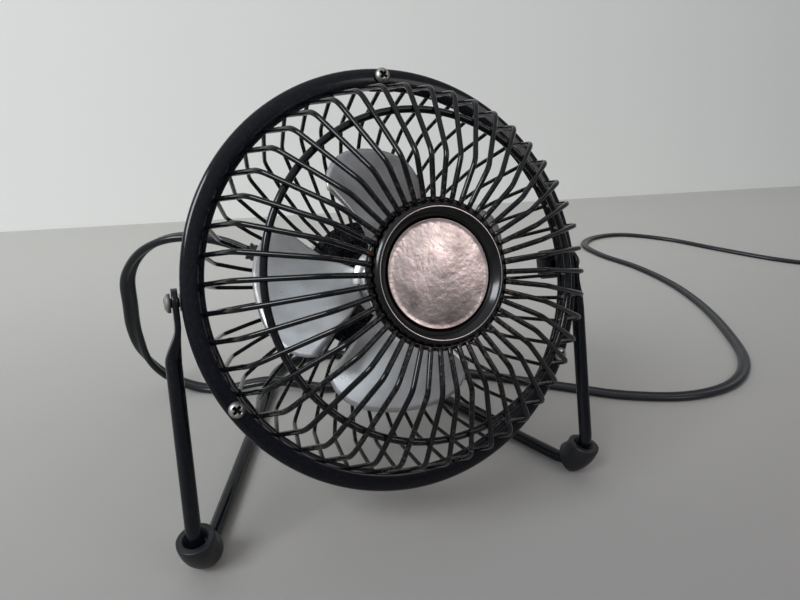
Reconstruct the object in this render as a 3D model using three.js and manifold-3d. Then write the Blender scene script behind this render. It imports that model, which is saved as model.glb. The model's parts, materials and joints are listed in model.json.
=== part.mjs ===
// Small desk fan: a wire-caged head that tilts between the legs of a bent-rod stand.
// Millimetres, +Z up, the front of the fan faces -Y, the stand and the cord lie on z = 0.
// The head is drawn level, about its tilt pivot: x across, o forward along the fan's axis,
// z up in the plane of the guard ring. It is then turned back by HEAD_TILT.
import * as THREE from 'three';
import { mergeVertices } from 'three/addons/utils/BufferGeometryUtils.js';
import Module from 'manifold-3d';

const wasm = await Module();
wasm.setup();

// ---------------------------------------------------------------- driving dimensions
const RING_OUTER = 72.5;
const RING_WIDTH = 6.9;
const RING_INNER = RING_OUTER - RING_WIDTH;
const RING_FRONT = 5.5;
const CAP_RADIUS = 21.6;
const CAP_FACE = 33.1;
const HEAD_TILT = THREE.MathUtils.degToRad(21.07);
const PIVOT_Z = 85.5;
const WIRE_COUNT = 46;
const WIRE_SIDES = 5;
const BLADE_RADIUS = 48.5;
const BLADE_COUNT = 4;
const MOTOR_RADIUS = 24;
const STAND_ROD_RADIUS = 2.5;
const FOOT_CORNER_Y = -25.6;
const STAND_APEX_Y = 166;
const CORD_WIDTH = 6.6;
const CORD_THICKNESS = 3.2;

// clearances
const GAP = 0.3;
const BEARING_GAP = 0.1;
const SCREW_GAP = 0.3;

const TAU = Math.PI * 2;
const UP = new THREE.Vector3(0, 0, 1);

// ---------------------------------------------------------------- solids and nodes
function solid(geometry) {
  const bare = geometry.clone();
  bare.deleteAttribute('normal');
  bare.deleteAttribute('uv');
  const merged = mergeVertices(bare, 1e-5);
  return new wasm.Manifold(new wasm.Mesh({
    numProp: 3,
    vertProperties: new Float32Array(merged.attributes.position.array),
    triVerts: new Uint32Array(merged.index.array),
  }));
}

function geometryOf(manifold) {
  const mesh = manifold.getMesh();
  const geometry = new THREE.BufferGeometry();
  geometry.setAttribute('position', new THREE.BufferAttribute(mesh.vertProperties, 3));
  geometry.setIndex(new THREE.BufferAttribute(mesh.triVerts, 1));
  geometry.computeVertexNormals();
  return geometry;
}

const join = (parts) => parts.reduce((a, b) => a.add(b));

const FINISH = {
  blackPaint: { color: 0x14161c, metalness: 0.4, roughness: 0.3 },
  steel: { color: 0xb4b6b8, metalness: 1, roughness: 0.3 },
  aluminium: { color: 0xc8cdd0, metalness: 0.9, roughness: 0.4 },
  foil: { color: 0xc9b3b3, metalness: 0.8, roughness: 0.45 },
  brass: { color: 0xb5914c, metalness: 1, roughness: 0.35 },
  copper: { color: 0xa45f33, metalness: 0.8, roughness: 0.4 },
  rubber: { color: 0x1c1c20, metalness: 0, roughness: 0.85 },
  blackPlastic: { color: 0x17181b, metalness: 0, roughness: 0.45 },
};

const stand = new THREE.Group();
stand.name = 'stand_group';
const head = new THREE.Group();
head.name = 'head_group';
head.position.z = PIVOT_Z;
head.rotation.x = -HEAD_TILT;
const part = new THREE.Group();
part.name = 'desk_fan';
part.add(stand, head);

function node(group, name, manifold, finish) {
  const mesh = new THREE.Mesh(geometryOf(manifold), new THREE.MeshStandardMaterial(FINISH[finish]));
  mesh.name = name;
  group.add(mesh);
  return mesh;
}

// A solid of revolution about the fan's axis, from a closed outline of [radius, o] points.
function turned(outline, segments = 28) {
  const points = outline.map(([r, o]) => new THREE.Vector2(r, -o));
  if (THREE.ShapeUtils.isClockWise(points)) points.reverse();
  if (points[0].x > 0) points.push(points[0]);
  return solid(new THREE.LatheGeometry(points, segments));
}

const disc = (radius, back, front, segments = 28) =>
  turned([[0, back], [radius, back], [radius, front], [0, front]], segments);

const tube = (outer, inner, back, front, segments = 28) =>
  turned([[inner, back], [outer, back], [outer, front], [inner, front]], segments);

// A box in the head's frame, from its centre and its size: x, o, z.
function block([x, o, z], [dx, dOut, dz]) {
  return solid(new THREE.BoxGeometry(dx, dOut, dz)).translate([x, -o, z]);
}

// Moves a solid drawn on the fan's axis to a radius and an angle round it.
function placed(manifold, radius, degrees) {
  return manifold.translate([radius, 0, 0]).rotate([0, -degrees, 0]);
}

// Turns a solid drawn along the fan's axis to point along +X instead.
const alongX = (manifold) => manifold.rotate([0, 0, 90]);

// ---------------------------------------------------------------- bent wire
// A polyline of { at, radius } corners becomes a list of points with rounded corners.
function rounded(corners, degreesPerStep = 20) {
  const points = [corners[0].at];
  for (let i = 1; i < corners.length - 1; i += 1) {
    const { at, radius } = corners[i];
    if (radius === 0) {
      points.push(at);
      continue;
    }
    const back = corners[i - 1].at.clone().sub(at).normalize();
    const ahead = corners[i + 1].at.clone().sub(at).normalize();
    const half = back.angleTo(ahead) / 2;
    const turn = Math.PI - 2 * half;
    const centre = back.clone().add(ahead).normalize()
      .multiplyScalar(radius / Math.sin(half)).add(at);
    const start = back.multiplyScalar(radius / Math.tan(half)).add(at).sub(centre);
    const axis = start.clone().cross(at.clone().sub(centre)).normalize();
    const steps = Math.max(1, Math.round(THREE.MathUtils.radToDeg(turn) / degreesPerStep));
    for (let k = 0; k <= steps; k += 1) {
      points.push(start.clone().applyAxisAngle(axis, (turn * k) / steps).add(centre));
    }
  }
  points.push(corners[corners.length - 1].at);
  return points;
}

// A closed round bar along a list of points; closed = true joins its end to its start.
function bar(points, radius, sides = 12, closed = false) {
  const count = points.length;
  const tangentAt = (i) => {
    const before = points[closed ? (i + count - 1) % count : Math.max(i - 1, 0)];
    const after = points[closed ? (i + 1) % count : Math.min(i + 1, count - 1)];
    return after.clone().sub(before).normalize();
  };
  const first = tangentAt(0);
  const side = Math.abs(first.z) < 0.9 ? UP : new THREE.Vector3(1, 0, 0);
  let normal = side.clone().cross(first).normalize();
  let previous = first;
  const position = [];
  for (let i = 0; i < count; i += 1) {
    const tangent = tangentAt(i);
    const turn = new THREE.Quaternion().setFromUnitVectors(previous, tangent);
    normal = normal.clone().applyQuaternion(turn);
    previous = tangent;
    for (let k = 0; k < sides; k += 1) {
      const spoke = normal.clone().applyAxisAngle(tangent, (TAU * k) / sides);
      position.push(...spoke.multiplyScalar(radius).add(points[i]).toArray());
    }
  }
  const index = [];
  const rings = closed ? count : count - 1;
  for (let i = 0; i < rings; i += 1) {
    for (let k = 0; k < sides; k += 1) {
      const a = i * sides + k;
      const b = i * sides + ((k + 1) % sides);
      const c = ((i + 1) % count) * sides + k;
      const d = ((i + 1) % count) * sides + ((k + 1) % sides);
      index.push(a, b, c, b, d, c);
    }
  }
  if (!closed) {
    const last = (count - 1) * sides;
    for (let k = 1; k < sides - 1; k += 1) {
      index.push(0, k + 1, k);
      index.push(last, last + k, last + k + 1);
    }
  }
  const geometry = new THREE.BufferGeometry();
  geometry.setAttribute('position', new THREE.Float32BufferAttribute(position, 3));
  geometry.setIndex(index);
  return solid(geometry);
}

// A point of the head at a radius, a forward distance and an angle round the axis.
function spokePoint(radius, o, angle) {
  return new THREE.Vector3(radius * Math.cos(angle), -o, radius * Math.sin(angle));
}

const wireAngle = (i) => ((i + 0.5) * TAU) / WIRE_COUNT;

// One wire of a guard: the same profile of [radius, o, bend radius] at an angle.
function guardWire(profile, angle, wireRadius) {
  const corners = profile.map(([r, o, bend]) => ({ at: spokePoint(r, o, angle), radius: bend }));
  return bar(rounded(corners, 60), wireRadius, WIRE_SIDES);
}

// A hoop has one straight length between neighbouring wires' angles, so it lies on each wire.
function hoop(radius, o, wireRadius) {
  const points = [];
  for (let i = 0; i < WIRE_COUNT; i += 1) points.push(spokePoint(radius, o, wireAngle(i)));
  return bar(points, wireRadius, WIRE_SIDES, true);
}

// ---------------------------------------------------------------- guard ring and front guard
const RING_PLATE = 1;
const RING_BACK = RING_FRONT - RING_PLATE;
const LIP_WALL = 0.7;
const LIP_DEPTH = 1.5;
const LIP_INNER = RING_OUTER - LIP_WALL;
const LIP_END = RING_BACK - LIP_DEPTH;
const RING_SCREW_PLACE = LIP_INNER - 2.4;
const RING_SCREW_ANGLES = [90, 210, 330];
const RING_SCREW_RADIUS = 1.2;
const RING_SCREW_HOLE = RING_SCREW_RADIUS + SCREW_GAP;
const FRONT_WIRE = 0.85;
const HUB_HOOP_WIRE = 1;
const HUB_HOOP_O = CAP_FACE + 0.4;
const MIDDLE_HOOP_WIRE = 1.15;
const SHOULDER = [35.7, 37.2];
const RIM = [RING_INNER - 6, 25.45];
const FRONT_PROFILE = [
  [CAP_RADIUS + 0.5, HUB_HOOP_O + 1.55, 0], [...SHOULDER, 0], [...RIM, 6],
  [RING_INNER + 0.2, RING_BACK + 0.2, 0],
];

// The middle hoop lies against the wires' sloping stretch, behind it.
function middleHoop() {
  const share = 0.65;
  const radius = SHOULDER[0] + share * (RIM[0] - SHOULDER[0]);
  const o = SHOULDER[1] + share * (RIM[1] - SHOULDER[1]) - FRONT_WIRE - MIDDLE_HOOP_WIRE + GAP;
  return hoop(radius, o, MIDDLE_HOOP_WIRE);
}

function frontGuard() {
  const ring = turned([
    [RING_INNER, RING_BACK], [RING_INNER, RING_FRONT], [RING_OUTER - 0.6, RING_FRONT],
    [RING_OUTER, RING_FRONT - 0.6], [RING_OUTER, LIP_END], [LIP_INNER, LIP_END], [LIP_INNER, RING_BACK],
  ], WIRE_COUNT);
  const pieces = [ring, middleHoop(), hoop(CAP_RADIUS + 0.7, HUB_HOOP_O, HUB_HOOP_WIRE)];
  for (let i = 0; i < WIRE_COUNT; i += 1) {
    pieces.push(guardWire(FRONT_PROFILE, wireAngle(i), FRONT_WIRE));
  }
  const holes = RING_SCREW_ANGLES.map((angle) =>
    placed(disc(RING_SCREW_HOLE, RING_BACK - 1, RING_FRONT + 1, 16), RING_SCREW_PLACE, angle));
  return join(pieces).subtract(join(holes));
}

// ---------------------------------------------------------------- cap in the middle of the front
const CAP_STUD = 2;
const CAP_STUD_END = 26.8;
const CAP_BACK = CAP_FACE - 1;
const BEZEL_WIDTH = 4.7;
const BADGE_RADIUS = CAP_RADIUS - BEZEL_WIDTH - GAP;
const BADGE_THICK = 0.6;
const HUB_PLATE_FRONT = CAP_BACK;
const HUB_PLATE_BACK = HUB_PLATE_FRONT - 1.3;
const CAP_NUT = { acrossFlats: 7, height: 2.9 };

// The bezel's section, as steps inwards from the cap's edge and forwards from its face.
const BEZEL_SECTION = [
  [BEZEL_WIDTH, 0], [4.4, 1.2], [2.4, 3.2], [1.7, 3.5], [1, 3.3], [0.2, 2.6], [0, 2], [0.1, 1.8], [0.7, 1.5],
];

function capBezel() {
  const bezel = BEZEL_SECTION.map(([inwards, forwards]) => [CAP_RADIUS - inwards, CAP_FACE + forwards]);
  return turned([
    [0, CAP_FACE], ...bezel, [CAP_RADIUS - 3.2, CAP_BACK], [CAP_STUD, CAP_BACK],
    [CAP_STUD, CAP_STUD_END], [0, CAP_STUD_END],
  ], 32);
}

function hubPlate() {
  const dished = HUB_PLATE_FRONT - 0.5;
  return turned([
    [CAP_STUD + GAP, HUB_PLATE_BACK], [CAP_RADIUS + 1.2, HUB_PLATE_BACK],
    [CAP_RADIUS + 1.2, HUB_PLATE_FRONT], [CAP_RADIUS - 0.8, HUB_PLATE_FRONT],
    [CAP_RADIUS - 1.3, dished], [CAP_STUD + GAP, dished],
  ], 28);
}

// A hexagonal nut on the fan's axis; acrossFlats is measured along x.
function nut(acrossFlats, bore, back, front) {
  const corner = acrossFlats / 2 / Math.cos(Math.PI / 6);
  return disc(corner, back, front, 6).subtract(disc(bore, back - 1, front + 1, 16));
}

// A pan-head screw on the fan's axis, its head towards the front; a cross is sunk in the head.
function screw(headRadius, shankRadius, tip, seat, headHeight, segments = 12) {
  const top = seat + headHeight;
  const body = turned([
    [0, tip], [shankRadius, tip], [shankRadius, seat], [headRadius, seat],
    [headRadius, seat + headHeight * 0.35], [headRadius * 0.7, top], [0, top],
  ], segments);
  const slot = [headRadius * 1.25, headHeight * 0.9, headRadius * 0.28];
  const cross = block([0, top, 0], slot).add(block([0, top, 0], slot).rotate([0, 90, 0]));
  return body.subtract(cross);
}

// ---------------------------------------------------------------- rear guard
const REAR_WIRE = 0.75;
const REAR_HOOP_WIRE = 1;
const REAR_HOOP = RING_INNER + 0.6;
const REAR_HOOP_O = RING_BACK - GAP - REAR_HOOP_WIRE;
const MOUNT_RADIUS = MOTOR_RADIUS + 1.5;
const MOUNT_FRONT = -35.4;
const MOUNT_PLATE = 1.2;
const MOUNT_BACK = MOUNT_FRONT - MOUNT_PLATE;
const MOUNT_SCREW_PLACE = 14;
const MOUNT_SCREW = 1.2;
const NOSE_RADIUS = 6.2;
const REAR_PROFILE = [
  [REAR_HOOP, REAR_HOOP_O, 0], [REAR_HOOP - 6, -19.6, 0], [REAR_HOOP - 16.2, -29, 0],
  [MOUNT_RADIUS + 10.5, MOUNT_FRONT - 0.6, 0], [MOUNT_RADIUS - 2.7, MOUNT_FRONT + 0.4, 0],
];
const TAB_FRONT = RING_BACK - GAP;
const TAB_THICK = 1.3;
const TAB_WIDTH = 9;
const TAB_INNER = RING_INNER - 0.8;
const TAB_OUTER = LIP_INNER - 0.5;
const LUG_THICK = 3;
const LUG_INNER = RING_INNER + 0.4;
const LUG_OUTER = LUG_INNER + LUG_THICK;
const LUG_HALF = 5.75;
const LUG_REAR = -11.5;
const PIVOT_SCREW = 1.5;

function ringTab(angle) {
  const middle = (TAB_INNER + LIP_INNER) / 2;
  const slab = block([middle, TAB_FRONT - TAB_THICK / 2, 0], [LIP_INNER - TAB_INNER, TAB_THICK, TAB_WIDTH]);
  const curved = disc(TAB_OUTER, TAB_FRONT - TAB_THICK - 1, TAB_FRONT + 1, WIRE_COUNT);
  return slab.intersect(curved).rotate([0, -angle, 0]);
}

function pivotLug(sign) {
  const outline = new THREE.Shape();
  outline.moveTo(-TAB_FRONT, -LUG_HALF);
  outline.lineTo(-LUG_REAR - 3, -LUG_HALF);
  outline.absarc(-LUG_REAR - 3, -LUG_HALF + 3, 3, -Math.PI / 2, 0, false);
  outline.absarc(-LUG_REAR - 3, LUG_HALF - 3, 3, 0, Math.PI / 2, false);
  outline.lineTo(-TAB_FRONT, LUG_HALF);
  outline.closePath();
  const options = { depth: LUG_OUTER - LUG_INNER, bevelEnabled: false, curveSegments: 4 };
  const plate = solid(new THREE.ExtrudeGeometry(outline, options))
    .rotate([90, 0, 90]).translate([LUG_INNER, 0, 0]);
  return sign > 0 ? plate : plate.mirror([1, 0, 0]);
}

function rearGuard() {
  const pieces = [
    hoop(REAR_HOOP, REAR_HOOP_O, REAR_HOOP_WIRE),
    tube(MOUNT_RADIUS, NOSE_RADIUS + GAP, MOUNT_BACK, MOUNT_FRONT, WIRE_COUNT),
    pivotLug(1), pivotLug(-1),
    ...RING_SCREW_ANGLES.map(ringTab),
  ];
  for (let i = 0; i < WIRE_COUNT; i += 1) {
    pieces.push(guardWire(REAR_PROFILE, wireAngle(i), REAR_WIRE));
  }
  const holes = [
    ...RING_SCREW_ANGLES.map((angle) =>
      placed(disc(RING_SCREW_HOLE, 0, TAB_FRONT + 0.2, 16), RING_SCREW_PLACE, angle)),
    ...[0, 180].map((angle) =>
      placed(disc(MOUNT_SCREW + SCREW_GAP, MOUNT_BACK - 1, MOUNT_FRONT + 1, 16), MOUNT_SCREW_PLACE, angle)),
    ...[1, -1].map((sign) =>
      alongX(disc(PIVOT_SCREW + SCREW_GAP, LUG_INNER - 1, LUG_OUTER + 1, 20)).scale([sign, 1, 1])),
  ];
  return join(pieces).subtract(join(holes));
}

// ---------------------------------------------------------------- blades and hub
const BLADE_MIDDLE = -10.5;
const BLADE_SHEET = 1;
const DISC_RADIUS = 13.5;
const BLADE_ROOT = DISC_RADIUS - 2.5;
const SHAFT_RADIUS = 2;
const BARREL_RADIUS = 6;
const BARREL_BACK = -24;
const HUB_FRONT = -4;
const FLANGE_RADIUS = BARREL_RADIUS + 4.5;
const GRUB_O = -19;
const GRUB_RADIUS = 1.2;

// Forward rise per radian: none at the disc, full from half way out.
function bladeRise(radius) {
  return 21.1 * THREE.MathUtils.smoothstep(radius, BLADE_ROOT - 1, BLADE_RADIUS / 2);
}

// One twisted blade; u runs across it, v outwards along it.
function blade(angle) {
  const across = 6;
  const along = 6;
  const position = [];
  const at = (side, i, j) => side * (across + 1) * (along + 1) + i * (along + 1) + j;
  for (const side of [-1, 1]) {
    for (let i = 0; i <= across; i += 1) {
      for (let j = 0; j <= along; j += 1) {
        const u = (2 * i) / across - 1;
        const v = j / along;
        const reach = BLADE_RADIUS - 9 * Math.abs(u) ** 4;
        const radius = BLADE_ROOT + v * (reach - BLADE_ROOT);
        const halfAngle = THREE.MathUtils.degToRad(26 + 9 * v);
        const rise = bladeRise(radius);
        const slope = Math.hypot(1, rise / radius);
        const o = BLADE_MIDDLE + rise * u * halfAngle + side * (BLADE_SHEET / 2) * slope;
        position.push(...spokePoint(radius, o, angle + u * halfAngle).toArray());
      }
    }
  }
  const index = [];
  const quad = (a, b, c, d) => index.push(a, c, b, a, d, c);
  for (let i = 0; i < across; i += 1) {
    for (let j = 0; j < along; j += 1) {
      quad(at(0, i, j), at(0, i, j + 1), at(0, i + 1, j + 1), at(0, i + 1, j));
      quad(at(1, i, j), at(1, i + 1, j), at(1, i + 1, j + 1), at(1, i, j + 1));
    }
    quad(at(0, i, 0), at(0, i + 1, 0), at(1, i + 1, 0), at(1, i, 0));
    quad(at(1, i, along), at(1, i + 1, along), at(0, i + 1, along), at(0, i, along));
  }
  for (let j = 0; j < along; j += 1) {
    quad(at(1, 0, j), at(1, 0, j + 1), at(0, 0, j + 1), at(0, 0, j));
    quad(at(0, across, j), at(0, across, j + 1), at(1, across, j + 1), at(1, across, j));
  }
  const geometry = new THREE.BufferGeometry();
  geometry.setAttribute('position', new THREE.Float32BufferAttribute(position, 3));
  geometry.setIndex(index);
  return solid(geometry);
}

function blades() {
  const sheet = disc(DISC_RADIUS, BLADE_MIDDLE - BLADE_SHEET / 2, BLADE_MIDDLE + BLADE_SHEET / 2);
  const pieces = [sheet];
  for (let i = 0; i < BLADE_COUNT; i += 1) pieces.push(blade((i * TAU) / BLADE_COUNT));
  return join(pieces).subtract(disc(BARREL_RADIUS + GAP, -20, 0, 32));
}

const DISC_FRONT = BLADE_MIDDLE + BLADE_SHEET / 2;
const DISC_BACK = BLADE_MIDDLE - BLADE_SHEET / 2;

function bladeHub() {
  const hub = turned([
    [SHAFT_RADIUS + GAP, BARREL_BACK], [BARREL_RADIUS, BARREL_BACK],
    [BARREL_RADIUS, DISC_FRONT + GAP], [FLANGE_RADIUS, DISC_FRONT + GAP],
    [FLANGE_RADIUS, DISC_FRONT + 1.6], [BARREL_RADIUS + 0.5, DISC_FRONT + 2.6],
    [BARREL_RADIUS - 0.5, HUB_FRONT], [SHAFT_RADIUS + GAP, HUB_FRONT],
  ], 24);
  const tapped = disc(GRUB_RADIUS + GAP, -BARREL_RADIUS - 2, -1, 16);
  return hub.subtract(tapped.rotate([90, 0, 0]).translate([0, -GRUB_O, 0]));
}

// The grub screw stands in the hub's barrel, pointing at the shaft.
function hubGrubScrew() {
  const grub = disc(GRUB_RADIUS, -BARREL_RADIUS - 0.2, -SHAFT_RADIUS - GAP - 0.1, 16);
  return grub.rotate([90, 0, 0]).translate([0, -GRUB_O, 0]);
}

// ---------------------------------------------------------------- motor
const HOUSING_FRONT = MOUNT_BACK - GAP;
const HOUSING_WALL = 1.6;
const HOUSING_ROUND = 1.2;
const HOUSING_INSIDE = HOUSING_FRONT - 2;
const HOUSING_INNER = MOTOR_RADIUS - HOUSING_WALL;
const SEAM = -55;
const COVER_DEPTH = 11.5;
const COVER_BACK = SEAM - COVER_DEPTH;
const COVER_INSIDE = COVER_BACK + 1.8;
const BEARING_OUTER = 4.5;
const BEARING_SEAT = BEARING_OUTER + GAP;
const BOSS = BEARING_SEAT + 2;
const NOSE_FRONT = HOUSING_FRONT + 2.4;
const FRONT_SEAT = NOSE_FRONT - 0.7;
const FRONT_BEARING = [FRONT_SEAT - GAP - 7, FRONT_SEAT - GAP];
const REAR_SEAT = COVER_BACK + 3.3;
const REAR_BOSS = SEAM - 1;
const REAR_BEARING = [REAR_SEAT + 0.7, REAR_BOSS - GAP];
const STACK_LENGTH = 10;
const STACK = [SEAM + 0.5, SEAM + 0.5 + STACK_LENGTH];
const STATOR_OUTER = HOUSING_INNER - GAP;
const YOKE = 3.5;
const YOKE_INNER = STATOR_OUTER - YOKE;
const STATOR_BORE = YOKE_INNER - 6.3;
const SHOE_OUTER = STATOR_BORE + 2;
const SHOE_HALF_ANGLE = THREE.MathUtils.degToRad(38);
const POLE_WIDTH = 7;
const COIL_THICK = 2.6;
const COIL_WALL = 2.4;
const COIL_PLACE = SHOE_OUTER + GAP + COIL_THICK / 2;
const ROTOR_RADIUS = STATOR_BORE - 0.5;
const BOLT_PLACE = STATOR_OUTER - YOKE / 2;
const BOLT_ANGLES = [45, 225];
const BOLT_RADIUS = 1;
const BOLT_LENGTH = 29;
const RELIEF_O = -60.4;
const RELIEF_ANGLE = 25;

const boltHoles = (back, front) =>
  join(BOLT_ANGLES.map((angle) => placed(disc(BOLT_RADIUS + GAP, back, front, 12), BOLT_PLACE, angle)));

function motorHousing() {
  const cup = turned([
    [SHAFT_RADIUS + 0.6, NOSE_FRONT], [NOSE_RADIUS, NOSE_FRONT], [NOSE_RADIUS, HOUSING_FRONT],
    [MOTOR_RADIUS - HOUSING_ROUND, HOUSING_FRONT], [MOTOR_RADIUS, HOUSING_FRONT - HOUSING_ROUND],
    [MOTOR_RADIUS, SEAM], [HOUSING_INNER, SEAM], [HOUSING_INNER, HOUSING_INSIDE],
    [BOSS, HOUSING_INSIDE], [BOSS, FRONT_BEARING[0] - 1.5], [BEARING_SEAT, FRONT_BEARING[0] - 1.5],
    [BEARING_SEAT, FRONT_SEAT], [SHAFT_RADIUS + 0.6, FRONT_SEAT],
  ]);
  const screwHoles = [0, 180].map((angle) =>
    placed(disc(MOUNT_SCREW + SCREW_GAP, HOUSING_INSIDE - 1, HOUSING_FRONT + 1, 16),
      MOUNT_SCREW_PLACE, angle));
  return cup.subtract(join(screwHoles)).subtract(boltHoles(HOUSING_INSIDE - 1, HOUSING_FRONT - GAP));
}

function rearCover() {
  const cup = turned([
    [0, COVER_BACK], [MOTOR_RADIUS - HOUSING_ROUND, COVER_BACK],
    [MOTOR_RADIUS, COVER_BACK + HOUSING_ROUND], [MOTOR_RADIUS, SEAM - GAP],
    [HOUSING_INNER, SEAM - GAP], [HOUSING_INNER, COVER_INSIDE],
    [BOSS, COVER_INSIDE], [BOSS, REAR_BOSS], [BEARING_SEAT, REAR_BOSS], [BEARING_SEAT, REAR_SEAT],
    [0, REAR_SEAT],
  ]);
  const cordHole = alongX(disc(RELIEF_NECK + GAP, -MOTOR_RADIUS - 6, -HOUSING_INNER + 5, 20));
  const switchHole = block([0, COVER_BACK, SWITCH_Z],
    [SWITCH_BODY_X * 2 + 2 * GAP, 8, SWITCH_BODY_Z * 2 + 2 * GAP]);
  return cup.subtract(cordHole.rotate([0, RELIEF_ANGLE, 0]).translate([0, -RELIEF_O, 0]))
    .subtract(switchHole)
    .subtract(boltHoles(COVER_BACK - 3, COVER_INSIDE + 3));
}

function statorCore() {
  const [back, front] = STACK;
  const middle = (front + back) / 2;
  const cross = (reach, width) => block([0, middle, 0], [2 * reach, STACK_LENGTH, width])
    .add(block([0, middle, 0], [width, STACK_LENGTH, 2 * reach]));
  const shoeWidth = 2 * STATOR_BORE * Math.sin(SHOE_HALF_ANGLE);
  const shoes = tube(SHOE_OUTER, STATOR_BORE - 1, back, front).intersect(cross(STATOR_OUTER, shoeWidth));
  return tube(STATOR_OUTER, YOKE_INNER, back, front)
    .add(cross(YOKE_INNER + 0.6, POLE_WIDTH)).add(shoes)
    .subtract(disc(STATOR_BORE, back - 1, front + 1))
    .subtract(boltHoles(back - 1, front + 1));
}

function statorWindings() {
  const [back, front] = STACK;
  const middle = (front + back) / 2;
  const room = POLE_WIDTH + 2 * GAP;
  const coilBack = back - COIL_WALL;
  const outside = block([COIL_PLACE, middle, 0],
    [COIL_THICK, STACK_LENGTH + 2 * COIL_WALL, room + 2 * COIL_WALL]);
  const inside = block([COIL_PLACE, middle, 0], [COIL_THICK + 2, STACK_LENGTH + 2 * GAP, room]);
  const coil = outside.subtract(inside);
  const coils = [0, 90, 180, 270].map((angle) => coil.rotate([0, -angle, 0]));
  return join(coils).add(tube(COIL_PLACE + 1.1, COIL_PLACE - 0.9, coilBack - 0.9, coilBack + 0.4));
}

function motorShaft() {
  const end = REAR_BEARING[0] - GAP;
  const tip = HUB_FRONT - 2;
  return turned([
    [0, end], [SHAFT_RADIUS, end], [SHAFT_RADIUS, tip - 0.5], [SHAFT_RADIUS - 0.5, tip], [0, tip],
  ], 24);
}

const sleeveBearing = ([back, front]) => tube(BEARING_OUTER, SHAFT_RADIUS + BEARING_GAP, back, front, 24);

// ---------------------------------------------------------------- switch
const SWITCH_BODY_X = 4.6;
const SWITCH_BODY_Z = 5.9;
const SWITCH_BODY_DEPTH = 6.3;
const SWITCH_FLANGE = 1;
const SWITCH_Z = BOSS + 2 * GAP + SWITCH_BODY_Z;
const ROCKER_X = 3.5;
const ROCKER_Z = 4.3;
const ROCKER_PIVOT_O = COVER_BACK + 1.5;
const ROCKER_ON = 8;

function switchBody() {
  const face = COVER_BACK - GAP - SWITCH_FLANGE;
  const flange = block([0, face + SWITCH_FLANGE / 2, SWITCH_Z],
    [SWITCH_BODY_X * 2 + 2.8, SWITCH_FLANGE, SWITCH_BODY_Z * 2 + 2.2]);
  const box = block([0, face + 0.6 + SWITCH_BODY_DEPTH / 2, SWITCH_Z],
    [SWITCH_BODY_X * 2, SWITCH_BODY_DEPTH, SWITCH_BODY_Z * 2]);
  const pocket = block([0, face + 2, SWITCH_Z], [ROCKER_X * 2 + 0.8, 7, ROCKER_Z * 2 + 1.8]);
  return flange.add(box).subtract(pocket);
}

// Drawn about its hinge and pressed to its on side.
function rocker() {
  const outline = new THREE.Shape();
  outline.moveTo(3, -ROCKER_Z);
  outline.lineTo(2.3, 0);
  outline.lineTo(3, ROCKER_Z);
  outline.lineTo(-0.6, 2.6);
  outline.lineTo(-0.6, -2.6);
  outline.closePath();
  const options = { depth: ROCKER_X * 2, bevelEnabled: false };
  return solid(new THREE.ExtrudeGeometry(outline, options))
    .rotate([90, 0, 90])
    .translate([-ROCKER_X, 0, 0])
    .rotate([ROCKER_ON, 0, 0])
    .translate([0, -ROCKER_PIVOT_O, SWITCH_Z]);
}

// ---------------------------------------------------------------- cord's strain relief
const RELIEF_LENGTH = 24;
const RELIEF_END = MOTOR_RADIUS + RELIEF_LENGTH;
const RELIEF_NECK = 2.9;

// The relief and the lead meet at a face square to the tilt axis, so tilting slides one past the other.
const RELIEF_FACE = (RELIEF_END - 2) * Math.cos(THREE.MathUtils.degToRad(RELIEF_ANGLE));
const CORD_FACE = RELIEF_FACE + GAP;

// The relief points to the left of the motor and RELIEF_ANGLE up from level.
function strainRelief() {
  const held = HOUSING_INNER - 0.8;
  const collar = MOTOR_RADIUS + GAP;
  const profile = [
    [0, held - 1.4], [RELIEF_NECK + 1, held - 1.4], [RELIEF_NECK + 1, held], [RELIEF_NECK, held],
    [RELIEF_NECK, collar], [5, collar], [5, collar + 2.2], [4.4, collar + 5.7], [3.9, RELIEF_END],
    [0, RELIEF_END],
  ];
  return alongX(turned(profile, 16)).scale([-1, 1, 1])
    .rotate([0, RELIEF_ANGLE, 0]).translate([0, -RELIEF_O, 0])
    .trimByPlane([1, 0, 0], -RELIEF_FACE);
}

// ---------------------------------------------------------------- stand
const SOLE_FROM = 34;
const SOLE_TO = 84;
const FOOT_BEND = 12;
const FOOT_OUTER = 6.2;
const BASE_Z = (FOOT_BEND + FOOT_OUTER) * Math.cos(THREE.MathUtils.degToRad(SOLE_FROM)) - FOOT_BEND;
const EYE_INNER = RING_OUTER + 0.5;
const EYE_THICK = 2;
const EYE_OUTER = EYE_INNER + EYE_THICK;
const LEG_X = EYE_OUTER + 1.4;
const EYE_RADIUS = 4.5;
const EYE_LENGTH = 15;

const pivotPoint = new THREE.Vector3(LEG_X, 0, PIVOT_Z);
const footCorner = new THREE.Vector3(LEG_X, FOOT_CORNER_Y, BASE_Z);
const standApex = new THREE.Vector3(0, STAND_APEX_Y, STAND_ROD_RADIUS);
const legDown = footCorner.clone().sub(pivotPoint).normalize();
const mirrored = (v) => new THREE.Vector3(-v.x, v.y, v.z);

function standRoute() {
  const start = pivotPoint.clone().addScaledVector(legDown, 11).setX(EYE_OUTER);
  const jog = pivotPoint.clone().addScaledVector(legDown, 19);
  const half = [
    { at: start, radius: 0 }, { at: jog, radius: 12 }, { at: footCorner, radius: FOOT_BEND },
  ];
  const otherHalf = half.map(({ at, radius }) => ({ at: mirrored(at), radius })).reverse();
  return rounded([...half, { at: standApex, radius: 30 }, ...otherHalf], 17);
}

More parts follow.
